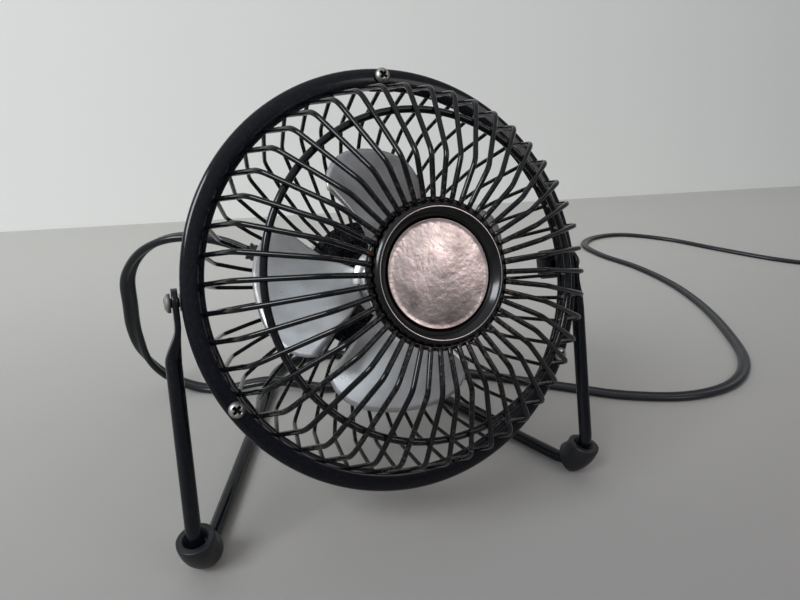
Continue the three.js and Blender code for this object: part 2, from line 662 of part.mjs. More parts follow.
function eye(sign) {
  const outline = new THREE.Shape();
  outline.absarc(0, 0, EYE_RADIUS, 0, Math.PI, false);
  outline.lineTo(-STAND_ROD_RADIUS, -EYE_LENGTH);
  outline.lineTo(STAND_ROD_RADIUS, -EYE_LENGTH);
  outline.closePath();
  const options = { depth: EYE_THICK, bevelEnabled: false, curveSegments: 10 };
  const lean = THREE.MathUtils.radToDeg(Math.atan2(-legDown.y, -legDown.z));
  const plate = solid(new THREE.ExtrudeGeometry(outline, options))
    .rotate([90, 0, 90]).rotate([-lean, 0, 0]).translate([EYE_INNER, 0, PIVOT_Z]);
  return sign > 0 ? plate : plate.mirror([1, 0, 0]);
}

function standRod() {
  const bores = [-1, 1].map((sign) =>
    alongX(disc(PIVOT_SCREW + SCREW_GAP, EYE_INNER - 3, EYE_OUTER + 5, 20))
      .scale([sign, 1, 1]).translate([0, 0, PIVOT_Z]));
  return bar(standRoute(), STAND_ROD_RADIUS, 10).add(eye(1)).add(eye(-1)).subtract(join(bores));
}

// Points along the foot's bend, from one turned angle to another, on the +X side.
function bendPoints(from, to, steps) {
  const baseBack = standApex.clone().sub(footCorner).normalize();
  const legUp = legDown.clone().negate();
  const half = baseBack.angleTo(legUp) / 2;
  const tangent = footCorner.clone().addScaledVector(baseBack, FOOT_BEND / Math.tan(half));
  const ahead = baseBack.clone().negate();
  const inward = legUp.clone().addScaledVector(baseBack, -legUp.dot(baseBack)).normalize();
  const points = [];
  for (let k = 0; k <= steps; k += 1) {
    const angle = THREE.MathUtils.degToRad(from + ((to - from) * k) / steps);
    points.push(tangent.clone()
      .addScaledVector(inward, FOOT_BEND * (1 - Math.cos(angle)))
      .addScaledVector(ahead, FOOT_BEND * Math.sin(angle)));
  }
  return points;
}

function foot(sign) {
  const sleeve = bar(bendPoints(SOLE_FROM, SOLE_TO, 4), FOOT_OUTER, 20);
  const bore = bar(bendPoints(SOLE_FROM - 14, SOLE_TO + 16, 8), STAND_ROD_RADIUS + 0.4, 12);
  const mouth = bar(bendPoints(SOLE_TO - 12, SOLE_TO + 10, 2), 4.2, 16);
  const sole = sleeve.subtract(bore).subtract(mouth);
  return sign > 0 ? sole : sole.mirror([1, 0, 0]);
}

// ---------------------------------------------------------------- cord
const CORD_LIE = CORD_THICKNESS / 2 + 0.1;
const CORD_CROSS = 2 * STAND_ROD_RADIUS + 1 + CORD_THICKNESS / 2;
const cordExit = new THREE.Vector3(-RELIEF_END + 2, 0, 0)
  .applyAxisAngle(new THREE.Vector3(0, 1, 0), THREE.MathUtils.degToRad(RELIEF_ANGLE))
  .add(new THREE.Vector3(0, -RELIEF_O, 0))
  .applyAxisAngle(new THREE.Vector3(1, 0, 0), -HEAD_TILT)
  .add(new THREE.Vector3(0, 0, PIVOT_Z));
const CORD_ROUTE = [
  cordExit.toArray(), [-50.8, 64.9, 86], [-62.2, 67.7, 88.3], [-73.6, 72.7, 86.6], [-83.4, 79.6, 79.7],
  [-89.6, 87.2, 67.5], [-90.4, 93.7, 51.9], [-90.4, 99.4, 37.5], [-87.6, 103.6, 22.9], [-80.7, 104.3, 11.8],
  [-70.8, 102.3, 4.6], [-59.8, 98.1, 1.8], [-49.2, 92.4, 3.1], [-40.7, 88.3, 6.1], [-31.3, 85.1, CORD_CROSS],
  [-20, 81.9, 6.1], [-8, 78.8, 3.1], [6, 76.5, 2.9], [20, 76, 6], [34, 76.5, CORD_CROSS], [47, 76, 6],
  [59, 74, 2.8],
  [72, 70, CORD_LIE], [112, 40, CORD_LIE], [138, 21, CORD_LIE], [170, 9, CORD_LIE],
  [204, 11, CORD_LIE], [236, 30, CORD_LIE], [264, 66, CORD_LIE], [288, 108, CORD_LIE],
  [304, 152, CORD_LIE], [309, 196, CORD_LIE], [304, 236, CORD_LIE], [312, 270, CORD_LIE],
  [342, 290, CORD_LIE], [380, 291, CORD_LIE], [413, 262, CORD_LIE], [433, 220, CORD_LIE],
  [456, 178, CORD_LIE], [483.4, 148.5, CORD_LIE],
];

// The cord stays flat: its wide side is level all along its route.
class LevelCurve extends THREE.CatmullRomCurve3 {
  computeFrenetFrames(steps) {
    const tangents = [];
    const normals = [];
    const binormals = [];
    for (let i = 0; i <= steps; i += 1) {
      const tangent = this.getTangentAt(i / steps);
      const level = tangent.clone().cross(UP).normalize();
      tangents.push(tangent);
      normals.push(level);
      binormals.push(tangent.clone().cross(level));
    }
    return { tangents, normals, binormals };
  }
}

function cordSection() {
  const outline = new THREE.Shape();
  const half = CORD_WIDTH / 2;
  const flat = half - CORD_THICKNESS / 2;
  const points = [];
  for (let k = 0; k < 8; k += 1) {
    const angle = (TAU * (k + 0.5)) / 8;
    const x = Math.cos(angle);
    points.push(new THREE.Vector2(x * (CORD_THICKNESS / 2) + Math.sign(x) * flat,
      Math.sin(angle) * (CORD_THICKNESS / 2)));
  }
  outline.setFromPoints(points);
  return outline;
}

function cord() {
  const route = new LevelCurve(CORD_ROUTE.map((p) => new THREE.Vector3(...p)));
  route.arcLengthDivisions = 2000;
  const beyondFace = solid(new THREE.BoxGeometry(6, 12, 12))
    .translate([3 - CORD_FACE, cordExit.y, cordExit.z]);
  return solid(new THREE.ExtrudeGeometry(cordSection(), { steps: 72, extrudePath: route }))
    .subtract(beyondFace);
}

// The stored coil: two turns wide and two turns high, lying beyond the free stretch.
const COIL_X = 470.2;
const COIL_Y = 104.4;
const COIL_MIDDLE = 36.3;

function ringOnTable(inner, outer, low, high, segments) {
  return tube(outer, inner, -high, -low, segments).rotate([90, 0, 0]).translate([COIL_X, COIL_Y, 0]);
}

const COIL_HIGH = 0.1 + 2 * CORD_THICKNESS + 0.2;
const cordCoil = () =>
  ringOnTable(COIL_MIDDLE - CORD_WIDTH, COIL_MIDDLE + CORD_WIDTH, 0.1, COIL_HIGH, 36);

const TIE_ANGLE = 150;

function coilTie() {
  const width = 2 * CORD_WIDTH + 2 * GAP;
  const outer = solid(new THREE.BoxGeometry(width + 1.6, 4, COIL_HIGH + GAP + 0.8))
    .translate([0, 0, (COIL_HIGH + GAP + 0.8) / 2]);
  const inner = solid(new THREE.BoxGeometry(width, 6, COIL_HIGH + GAP + 1))
    .translate([0, 0, (COIL_HIGH + GAP + 1) / 2 - 1]);
  return outer.subtract(inner)
    .translate([COIL_MIDDLE, 0, 0]).rotate([0, 0, TIE_ANGLE]).translate([COIL_X, COIL_Y, 0]);
}

// A flat two-pin plug; it starts where the cord leaves the coil's south side, heading -X.
const PLUG_Y = COIL_Y - COIL_MIDDLE - CORD_WIDTH / 2;
const PLUG_FROM_COIL = 24;
const PLUG_START = COIL_X - PLUG_FROM_COIL;
const PLUG_LIE = 6.4;
const PLUG_NECK = 24;
const PLUG_BODY = 32;
const PLUG_HALF = 17.2;
const PIN_SPACING = 9.5;

function plugBody() {
  const outline = new THREE.Shape();
  const end = -PLUG_NECK - PLUG_BODY;
  const half = [
    [0, 3.4], [-PLUG_NECK, 5.2], [-PLUG_NECK - 8, PLUG_HALF - 4.2], [end + 6, PLUG_HALF], [end, PLUG_HALF],
  ];
  half.forEach(([x, y]) => outline.lineTo(x, -y));
  half.reverse().forEach(([x, y]) => outline.lineTo(x, y));
  outline.closePath();
  const options = { depth: 10.6, bevelEnabled: true, bevelThickness: 1, bevelSize: 1, bevelOffset: -1 };
  const slab = solid(new THREE.ExtrudeGeometry(outline, { ...options, bevelSegments: 1 }));
  const neckSlope = solid(new THREE.BoxGeometry(40, 50, 20)).rotate([0, 9, 0]).translate([-4, 0, 20.4]);
  const underSlope = solid(new THREE.BoxGeometry(40, 50, 20)).rotate([0, -9, 0]).translate([-4, 0, -9.8]);
  return slab.subtract(neckSlope).subtract(underSlope)
    .translate([PLUG_START, PLUG_Y, PLUG_LIE - 5.3]);
}

function plugPin(sign) {
  const pin = turned([
    [0, 0], [2, 0], [2, 17.6], [1.2, 19], [0, 19],
  ], 16);
  return pin.rotate([0, 0, -90])
    .translate([PLUG_START - PLUG_NECK - PLUG_BODY - GAP, PLUG_Y + sign * PIN_SPACING, PLUG_LIE]);
}

// ---------------------------------------------------------------- assembly
node(stand, 'stand_rod', standRod(), 'blackPaint');
node(stand, 'foot_right', foot(1), 'rubber');
node(stand, 'foot_left', foot(-1), 'rubber');
node(stand, 'cord', cord(), 'blackPlastic');
node(stand, 'cord_coil', cordCoil(), 'blackPlastic');
node(stand, 'coil_tie', coilTie(), 'blackPlastic');
node(stand, 'plug_body', plugBody(), 'blackPlastic');
node(stand, 'plug_pin_1', plugPin(-1), 'brass');
node(stand, 'plug_pin_2', plugPin(1), 'brass');

node(head, 'front_guard', frontGuard(), 'blackPaint');
node(head, 'cap_bezel', capBezel(), 'blackPaint');
node(head, 'badge_disc', disc(BADGE_RADIUS, CAP_FACE + GAP, CAP_FACE + GAP + BADGE_THICK, 32), 'foil');
node(head, 'hub_plate', hubPlate(), 'blackPaint');
const nutFront = HUB_PLATE_BACK - GAP;
const capNut = nut(CAP_NUT.acrossFlats, CAP_STUD + GAP, nutFront - CAP_NUT.height, nutFront);
node(head, 'cap_nut', capNut, 'steel');
node(head, 'rear_guard', rearGuard(), 'blackPaint');

RING_SCREW_ANGLES.forEach((angle, i) => {
  const ringScrew = screw(2.6, RING_SCREW_RADIUS, 0.4, RING_FRONT + GAP, 1.9);
  node(head, `ring_screw_${i + 1}`, placed(ringScrew, RING_SCREW_PLACE, angle), 'steel');
  const back = TAB_FRONT - TAB_THICK - GAP;
  node(head, `ring_nut_${i + 1}`,
    placed(nut(4, RING_SCREW_HOLE, back - 1.6, back), RING_SCREW_PLACE, angle), 'steel');
});

[1, -1].forEach((sign) => {
  const side = sign > 0 ? 'right' : 'left';
  const pivotScrew = alongX(screw(3, PIVOT_SCREW, LUG_INNER, EYE_OUTER + GAP, 2));
  const spacer = alongX(tube(2.7, PIVOT_SCREW + SCREW_GAP, LUG_OUTER + GAP, EYE_INNER - GAP, 20));
  node(head, `pivot_screw_${side}`, pivotScrew.scale([sign, 1, 1]), 'steel');
  node(head, `pivot_spacer_${side}`, spacer.scale([sign, 1, 1]), 'steel');
});

node(head, 'motor_housing', motorHousing(), 'blackPaint');
node(head, 'rear_cover', rearCover(), 'blackPaint');
node(head, 'stator_core', statorCore(), 'steel');
node(head, 'stator_windings', statorWindings(), 'copper');
node(head, 'front_bearing', sleeveBearing(FRONT_BEARING), 'brass');
node(head, 'rear_bearing', sleeveBearing(REAR_BEARING), 'brass');
[0, 180].forEach((angle, i) => {
  node(head, `motor_screw_${i + 1}`,
    placed(screw(2.3, MOUNT_SCREW, HOUSING_INSIDE + GAP, MOUNT_FRONT + GAP, 1.6), MOUNT_SCREW_PLACE, angle),
    'steel');
});
BOLT_ANGLES.forEach((angle, i) => {
  const bolt = screw(2, BOLT_RADIUS, -COVER_BACK - BOLT_LENGTH, -COVER_BACK + GAP, 1.5).mirror([0, 1, 0]);
  node(head, `through_bolt_${i + 1}`, placed(bolt, BOLT_PLACE, angle), 'steel');
});
node(head, 'strain_relief', strainRelief(), 'rubber');
node(head, 'switch_body', switchBody(), 'blackPlastic');
node(head, 'switch_rocker', rocker(), 'blackPlastic');

node(head, 'motor_shaft', motorShaft(), 'steel');
node(head, 'rotor_core', tube(ROTOR_RADIUS, SHAFT_RADIUS + GAP, STACK[0] + 0.1, STACK[1] - 0.1), 'steel');
node(head, 'blade_hub', bladeHub(), 'aluminium');
const nutFace = DISC_BACK - GAP;
node(head, 'blade_nut', nut(2 * BARREL_RADIUS + 4, BARREL_RADIUS + GAP, nutFace - 3, nutFace), 'steel');
node(head, 'blades', blades(), 'aluminium');
node(head, 'hub_grub_screw', hubGrubScrew(), 'steel');

export default part;
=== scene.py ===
"""The looks of the desk fan on its CAD frame: wires, sheet metal, blades, cord and materials.

Lengths are in millimetres until they reach a mesh. The head is drawn level about its tilt pivot:
x across, o forward along the fan's axis, z up in the ring's plane; place() turns it to the world.
"""
import json
import math

import bmesh
import bpy
from mathutils import Matrix, Quaternion, Vector

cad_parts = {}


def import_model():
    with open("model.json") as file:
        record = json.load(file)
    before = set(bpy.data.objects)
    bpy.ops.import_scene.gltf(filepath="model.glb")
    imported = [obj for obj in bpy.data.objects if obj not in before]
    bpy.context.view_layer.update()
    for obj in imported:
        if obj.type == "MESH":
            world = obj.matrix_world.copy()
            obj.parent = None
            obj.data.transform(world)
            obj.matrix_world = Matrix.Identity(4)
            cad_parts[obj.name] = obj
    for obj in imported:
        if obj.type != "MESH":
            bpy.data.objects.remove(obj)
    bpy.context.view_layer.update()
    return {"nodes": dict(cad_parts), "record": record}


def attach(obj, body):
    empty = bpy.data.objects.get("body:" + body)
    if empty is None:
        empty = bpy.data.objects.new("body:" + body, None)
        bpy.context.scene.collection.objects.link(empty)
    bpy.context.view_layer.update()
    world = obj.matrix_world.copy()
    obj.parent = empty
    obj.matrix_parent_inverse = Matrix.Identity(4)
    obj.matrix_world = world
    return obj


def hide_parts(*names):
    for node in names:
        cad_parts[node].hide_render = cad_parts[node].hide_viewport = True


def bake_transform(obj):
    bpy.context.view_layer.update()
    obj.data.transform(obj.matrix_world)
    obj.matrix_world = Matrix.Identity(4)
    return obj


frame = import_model()
nodes = frame["nodes"]

MM = 0.001
TILT = math.radians(21.07)
PIVOT_Z = 85.5
RING_OUTER = 72.5
RING_INNER = 65.6
WIRES = 46
BLADE_RADIUS = 48.5
MOTOR_RADIUS = 24
ROD = 2.5
LEG_X = 76.4
CORD_WIDTH = 6.6
CORD_THICKNESS = 3.2
UP = Vector((0, 0, 1))
SIDES = (("right", 1), ("left", -1))
RING_SCREW_ANGLES = tuple(math.radians(degrees) for degrees in (90, 210, 330))


# ---------------------------------------------------------------- camera, light, floor and wall
CAMERA_AT = Vector((-78.63, -184.34, 153.57))
CAMERA_RIGHT = Vector((0.92222, -0.38540, 0.03137))
CAMERA_UP = Vector((0.10929, 0.33764, 0.93491))
FOCAL_PIXELS = 601.1
IMAGE_WIDTH = 800
SENSOR = 36


def camera():
    data = bpy.data.cameras.new("photo_camera")
    data.lens = FOCAL_PIXELS / IMAGE_WIDTH * SENSOR
    data.sensor_width = SENSOR
    data.clip_start = 0.01
    obj = bpy.data.objects.new("photo_camera", data)
    back = CAMERA_RIGHT.cross(CAMERA_UP).normalized()
    turn = Matrix((CAMERA_RIGHT, back.cross(CAMERA_RIGHT), back)).transposed()
    obj.matrix_world = Matrix.Translation(CAMERA_AT * MM) @ turn.to_4x4()
    bpy.context.scene.collection.objects.link(obj)
    bpy.context.scene.camera = obj


def light(name, at, towards, energy, colour, size):
    data = bpy.data.lights.new(name, "AREA")
    data.energy = energy
    data.color = colour
    data.shape = "RECTANGLE"
    data.size, data.size_y = (side * MM for side in size)
    obj = bpy.data.objects.new(name, data)
    obj.location = Vector(at) * MM
    aim = (Vector(towards) - Vector(at)).normalized()
    obj.rotation_euler = aim.to_track_quat("-Z", "Y").to_euler()
    bpy.context.scene.collection.objects.link(obj)


def world():
    """A dim room, brighter from above and from the left."""
    scene = bpy.context.scene
    scene.world = bpy.data.worlds.new("room")
    scene.world.use_nodes = True
    tree = scene.world.node_tree
    shade = tree.nodes["Background"]
    shade.inputs["Strength"].default_value = 1.0
    coords = tree.nodes.new("ShaderNodeTexCoord")
    across = tree.nodes.new("ShaderNodeVectorMath")
    across.operation = "DOT_PRODUCT"
    across.inputs[1].default_value = Vector((-0.45, -0.05, 0.89)).normalized()
    ramp = tree.nodes.new("ShaderNodeValToRGB")
    ramp.color_ramp.elements[0].position = 0.60
    ramp.color_ramp.elements[0].color = (0.20, 0.205, 0.215, 1)
    ramp.color_ramp.elements[1].position = 1.0
    ramp.color_ramp.elements[1].color = (0.80, 0.85, 0.90, 1)
    spread = tree.nodes.new("ShaderNodeMapRange")
    spread.inputs["From Min"].default_value = -1
    tree.links.new(coords.outputs["Generated"], across.inputs[0])
    tree.links.new(across.outputs["Value"], spread.inputs["Value"])
    tree.links.new(spread.outputs["Result"], ramp.inputs["Fac"])
    tree.links.new(ramp.outputs["Color"], shade.inputs["Color"])
    scene.view_settings.view_transform = "Standard"
    scene.view_settings.exposure = 0
    scene.view_settings.gamma = 1


STAGE_REACH = 3000
WALL_Y = 475
WALL_HEIGHT = 2500
# Where the desk's shade starts and ends, in metres because a shader reads them.
DESK_DARKEST_Y = -0.30
DESK_PALEST_Y = 0.42


def stage():
    low, high = -STAGE_REACH, STAGE_REACH
    floor = quad("floor", [(low, low), (high, low), (high, high), (low, high)],
                 lambda a, b: (a, b, 0))
    wall = quad("wall", [(low, 0), (high, 0), (high, WALL_HEIGHT), (low, WALL_HEIGHT)],
                lambda a, b: (a, WALL_Y, b))
    floor.data.materials.append(desk_paint())
    wall.data.materials.append(one_sided("wall_paint", (0.86, 0.855, 0.825), 0.8))


def desk_paint():
    """The desk top, a little darker towards the viewer as in the photograph."""
    mat, shader = material("desk_top", (0.40, 0.385, 0.365), 0.6)
    tree = mat.node_tree
    coords = tree.nodes.new("ShaderNodeTexCoord")
    parts = tree.nodes.new("ShaderNodeSeparateXYZ")
    fade = tree.nodes.new("ShaderNodeMapRange")
    fade.interpolation_type = "SMOOTHSTEP"
    fade.inputs["From Min"].default_value = DESK_DARKEST_Y
    fade.inputs["From Max"].default_value = DESK_PALEST_Y
    ramp = tree.nodes.new("ShaderNodeValToRGB")
    ramp.color_ramp.elements[0].color = (0.195, 0.180, 0.178, 1)
    ramp.color_ramp.elements[1].color = (0.50, 0.485, 0.455, 1)
    tree.links.new(coords.outputs["Object"], parts.inputs["Vector"])
    tree.links.new(parts.outputs["Y"], fade.inputs["Value"])
    tree.links.new(fade.outputs["Result"], ramp.inputs["Fac"])
    tree.links.new(ramp.outputs["Color"], shader.inputs["Base Color"])
    return mat


def one_sided(name, base, roughness):
    """Paint that is only there from the front, so that the wall never hides the fan from behind."""
    mat, shader = material(name, base, roughness)
    tree = mat.node_tree
    side = tree.nodes.new("ShaderNodeNewGeometry")
    clear = tree.nodes.new("ShaderNodeBsdfTransparent")
    pick = tree.nodes.new("ShaderNodeMixShader")
    tree.links.new(side.outputs["Backfacing"], pick.inputs[0])
    tree.links.new(shader.outputs["BSDF"], pick.inputs[1])
    tree.links.new(clear.outputs["BSDF"], pick.inputs[2])
    tree.links.new(pick.outputs["Shader"], tree.nodes["Material Output"].inputs["Surface"])
    return mat


def quad(name, corners, place_corner):
    mesh = bpy.data.meshes.new(name)
    mesh.from_pydata([Vector(place_corner(*c)) * MM for c in corners], [], [(0, 1, 2, 3)])
    obj = bpy.data.objects.new(name, mesh)
    bpy.context.scene.collection.objects.link(obj)
    return obj


# ---------------------------------------------------------------- materials
def material(name, base, roughness, metallic=0.0):
    mat = bpy.data.materials.new(name)
    mat.use_nodes = True
    shader = mat.node_tree.nodes["Principled BSDF"]
    shader.inputs["Base Color"].default_value = (*base, 1)
    shader.inputs["Roughness"].default_value = roughness
    shader.inputs["Metallic"].default_value = metallic
    return mat, shader


class Nodes:
    """Short ways to add shader nodes to one material."""

    def __init__(self, mat):
        self.tree = mat.node_tree
        self.coords = self.tree.nodes.new("ShaderNodeTexCoord").outputs["Object"]

    def noise(self, scale, detail=4, stretch=None):
        node = self.tree.nodes.new("ShaderNodeTexNoise")
        node.inputs["Scale"].default_value = scale
        node.inputs["Detail"].default_value = detail
        source = self.coords
        if stretch:
            mapping = self.tree.nodes.new("ShaderNodeMapping")
            mapping.inputs["Scale"].default_value = stretch
            self.link(source, mapping.inputs["Vector"])
            source = mapping.outputs["Vector"]
        self.link(source, node.inputs["Vector"])
        return node.outputs["Fac"]

    def attribute(self, name):
        node = self.tree.nodes.new("ShaderNodeAttribute")
        node.attribute_name = name
        return node.outputs["Fac"]

    def ramp(self, value, low, high, out_low=0.0, out_high=1.0):
        node = self.tree.nodes.new("ShaderNodeMapRange")
        node.inputs["From Min"].default_value = low
        node.inputs["From Max"].default_value = high
        node.inputs["To Min"].default_value = out_low
        node.inputs["To Max"].default_value = out_high
        self.link(value, node.inputs["Value"])
        return node.outputs["Result"]

    def combine(self, operation, a, b):
        node = self.tree.nodes.new("ShaderNodeMath")
        node.operation = operation
        self.link(a, node.inputs[0])
        self.link(b, node.inputs[1])
        return node.outputs["Value"]

    def times(self, a, b):
        return self.combine("MULTIPLY", a, b)

    def plus(self, a, b):
        return self.combine("ADD", a, b)

    def mix(self, factor, first, second):
        node = self.tree.nodes.new("ShaderNodeMix")
        node.data_type = "RGBA"
        self.link(factor, node.inputs["Factor"])
        for socket, colour in ((node.inputs["A"], first), (node.inputs["B"], second)):
            if isinstance(colour, tuple):
                socket.default_value = (*colour, 1)
            else:
                self.link(colour, socket)
        return node.outputs["Result"]

    def bump(self, height, strength, distance, shader):
        node = self.tree.nodes.new("ShaderNodeBump")
        node.inputs["Strength"].default_value = strength
        node.inputs["Distance"].default_value = distance * MM
        self.link(height, node.inputs["Height"])
        self.link(node.outputs["Normal"], shader.inputs["Normal"])

    def link(self, a, b):
        self.tree.links.new(a, b)


def gloss_paint(name, base=(0.002, 0.0023, 0.0036), rusty=False):
    """Black stoving enamel, with dust where the mesh says so, and a few specks of rust."""
    mat, shader = material(name, base, 0.1)
    shader.inputs["Specular IOR Level"].default_value = 0.28
    n = Nodes(mat)
    fluff = n.times(n.ramp(n.noise(900), 0.50, 0.66), n.attribute("dust_and_painted_light"))
    colour = n.mix(fluff, base, (0.095, 0.076, 0.064))
    if rusty:
        spots = n.times(n.ramp(n.noise(260, 2), 0.66, 0.70), n.attribute("dust_and_painted_light"))
        colour = n.mix(spots, colour, (0.10, 0.042, 0.022))
    n.link(colour, shader.inputs["Base Color"])
    haze = n.ramp(n.noise(45, 4), 0.35, 0.75, 0.07, 0.16)
    n.link(n.plus(haze, n.ramp(fluff, 0, 1, 0, 0.6)), shader.inputs["Roughness"])
    n.bump(n.noise(180, 2), 0.06, 0.05, shader)
    return mat


def bezel_paint():
    """The cap's enamel, with a painted highlight along its crest: a thin band of pale bare metal,
    partly paint rubbed through.
    """
    mat, shader = material("cap_enamel", (0.003, 0.0026, 0.003), 0.08)
    shader.inputs["Specular IOR Level"].default_value = 0.36
    n = Nodes(mat)
    # Painted highlight: the crest's band goes pale and metallic, partly as paint rubbed through to
    # the metal.
    wear_and_sheen = n.times(n.attribute("dust_and_painted_light"), n.ramp(n.noise(120, 3), 0.25, 0.5, 0.55, 1))
    n.link(n.mix(wear_and_sheen, (0.003, 0.0026, 0.003), (0.60, 0.54, 0.53)), shader.inputs["Base Color"])
    n.link(wear_and_sheen, shader.inputs["Metallic"])
    n.link(n.ramp(n.noise(60, 3), 0.3, 0.7, 0.13, 0.22), shader.inputs["Roughness"])
    return mat


def foil():
    """Crinkled foil: dark and pale patches, partly tarnish and partly painted reflection, fine
    crinkles and broad dents.
    """
    mat, shader = material("hammered_foil", (0.78, 0.66, 0.64), 0.28, 1.0)
    n = Nodes(mat)
    # Dark and pale patches in the foil's colour: partly tarnish, partly painted reflection.
    tone = n.ramp(n.noise(58, 3), 0.38, 0.62)
    n.link(n.mix(tone, (0.27, 0.225, 0.225), (0.78, 0.67, 0.65)), shader.inputs["Base Color"])
    n.link(n.ramp(n.noise(300), 0.3, 0.7, 0.26, 0.40), shader.inputs["Roughness"])
    crinkles = n.ramp(n.noise(720, 3), 0, 1, 0, 3.6)
    dents = n.ramp(n.noise(75, 2), 0, 1, 0, 17)
    n.bump(n.plus(crinkles, dents), 0.32, 0.1, shader)
    return mat


def bare_metal(name, base, roughness, grain):
    """Bare metal with a drawn grain, near black where the mesh says so: painted shade and grime."""
    mat, shader = material(name, base, roughness, 1.0)
    n = Nodes(mat)
    dark = tuple(0.72 * c for c in base)
    shade_and_grime = n.attribute("dust_and_painted_light")
    clean = n.mix(n.ramp(n.noise(260), 0.35, 0.7), base, dark)
    # Painted shade and grime: near black where the mesh marks screw recesses and the rims of heads.
    n.link(n.mix(shade_and_grime, clean, (0.012, 0.009, 0.007)), shader.inputs["Base Color"])
    wear_and_sheen = n.ramp(n.noise(500), 0.3, 0.7, roughness * 0.7, roughness * 1.4)
    n.link(n.plus(wear_and_sheen, n.ramp(shade_and_grime, 0, 1, 0, 0.5)), shader.inputs["Roughness"])
    n.bump(n.noise(grain, 3, (1, 0.06, 1)), 0.2, 0.04, shader)
    return mat


def blade_metal():
    """Pressed aluminium under a thin haze of dust."""
    mat, shader = material("blade_aluminium", (0.62, 0.64, 0.65), 0.32, 0.85)
    n = Nodes(mat)
    haze = n.ramp(n.noise(60, 5), 0.35, 0.7)
    n.link(n.mix(haze, (0.60, 0.62, 0.64), (0.46, 0.43, 0.42)), shader.inputs["Base Color"])
    n.link(n.ramp(n.noise(200), 0.3, 0.7, 0.26, 0.46), shader.inputs["Roughness"])
    n.bump(n.noise(900, 2), 0.12, 0.03, shader)
    return mat


def soft_plastic(name, base, roughness, grain=700, depth=0.06):
    """Moulded plastic or rubber with a fine grain and paler scuffs."""
    mat, shader = material(name, base, roughness)
    shader.inputs["Specular IOR Level"].default_value = 0.36
    n = Nodes(mat)
    pale = tuple(min(1, 1.5 * c + 0.001) for c in base)
    n.link(n.mix(n.ramp(n.noise(90, 5), 0.45, 0.75), base, pale), shader.inputs["Base Color"])
    n.link(n.ramp(n.noise(grain), 0.3, 0.7, roughness * 0.85, min(1, roughness * 1.15)),
           shader.inputs["Roughness"])
    n.bump(n.noise(grain, 3), 0.3, depth, shader)
    return mat


# ---------------------------------------------------------------- meshes
HEAD = Matrix.Translation((0, 0, PIVOT_Z)) @ Matrix.Rotation(-TILT, 4, "X")


def place(x, o, z):
    """A point of the head, from its own frame to the world."""
    return HEAD @ Vector((x, -o, z))


def polar(radius, o, angle):
    """A point of the head by its distance from the fan's axis and its angle round it."""
    return place(radius * math.cos(angle), o, radius * math.sin(angle))


def build(name, verts, faces, mat, body, replaced=(), dust_and_painted_light=None):
    """One visible piece; its number per vertex reads in the material as dust, as painted shade and
    grime on screw heads, and as a painted highlight of rubbed paint on the cap's crest.
    """
    mesh = bpy.data.meshes.new(name)
    mesh.from_pydata([v * MM for v in verts], [], faces)
    mesh.validate()
    mesh.shade_smooth()
    if dust_and_painted_light is not None:
        layer = mesh.attributes.new("dust_and_painted_light", "FLOAT", "POINT")
        layer.data.foreach_set("value", dust_and_painted_light)
    obj = bpy.data.objects.new(name, mesh)
    mesh.materials.append(mat)
    bpy.context.scene.collection.objects.link(obj)
    if body:
        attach(obj, body)
    if replaced:
        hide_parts(*replaced)
    return obj


class Shape:
    """Vertices and faces gathered from several swept or turned forms."""

    def __init__(self):
        self.verts = []
        self.faces = []

    def grid(self, rows, closed_rows=False, closed_columns=True):
        """Quads between rows of points; rows and columns may close on themselves."""
        start = len(self.verts)
        width = len(rows[0])
        for row in rows:
            self.verts.extend(row)
        count = len(rows)
        for i in range(count if closed_rows else count - 1):
            for k in range(width if closed_columns else width - 1):
                a = start + i * width + k
                b = start + i * width + (k + 1) % width
                c = start + (i + 1) % count * width + k
                d = start + (i + 1) % count * width + (k + 1) % width
                self.faces.append((a, b, d, c))
        return start

    def cap(self, start, width, flip=False):
        loop = list(range(start, start + width))
        self.faces.append(tuple(reversed(loop)) if flip else tuple(loop))

    def sweep(self, points, section, closed=False, level=False, bevel=0.0):
        """A section, a list of (across, up) pairs, carried along points; bevel rounds the ends."""
        rows = frames(points, closed, level)
        if bevel and not closed:
            rows = eased_ends(rows, bevel)
        grid = [[p + a * u * s + b * v * s for u, v in section] for p, a, b, s in rows]
        start = self.grid(grid, closed_rows=closed)
        if not closed:
            width = len(section)
            self.cap(start, width, flip=True)
            self.cap(start + (len(rows) - 1) * width, width)


def frames(points, closed, level):
    """(point, across, up, scale) at each point, turning as little as possible, or kept level."""
    count = len(points)
    rows = []
    across = None
    previous = None
    for i, point in enumerate(points):
        before = points[(i - 1) % count] if closed or i else points[0]
        after = points[(i + 1) % count] if closed or i < count - 1 else points[-1]
        along = (after - before).normalized()
        if level:
            across = along.cross(UP).normalized()
        elif across is None:
            side = UP if abs(along.z) < 0.9 else Vector((1, 0, 0))
            across = side.cross(along).normalized()
        else:
            across = previous.rotation_difference(along) @ across
        previous = along
        up = along.cross(across).normalized() * (-1 if level else 1)
        rows.append((point, across, up, 1.0))
    return rows


def eased_ends(rows, bevel):
    """Rounds both ends of a bar a little, by three smaller sections."""
    first, last = rows[0], rows[-1]
    inward = (rows[1][0] - first[0]).normalized() * bevel
    outward = (rows[-2][0] - last[0]).normalized() * bevel
    start = [(first[0] + inward * (1 - math.cos(a)), first[1], first[2], 0.55 + 0.45 * math.sin(a))
             for a in (0, 0.7, 1.2)]
    end = [(last[0] + outward * (1 - math.cos(a)), last[1], last[2], 0.55 + 0.45 * math.sin(a))
           for a in (1.2, 0.7, 0)]
    return start + rows[1:-1] + end


def circle(radius, sides=12):
    return [(radius * math.cos(math.tau * k / sides), radius * math.sin(math.tau * k / sides))
            for k in range(sides)]


def eased(value, start, end):
    """0 before start and 1 after end, with a smooth passage between."""
    t = min(1, max(0, (value - start) / (end - start)))
    return t * t * (3 - 2 * t)


def spaced(start, end, count):
    """Evenly spaced numbers, count steps from start to end."""
    return [start + (end - start) * k / count for k in range(count + 1)]


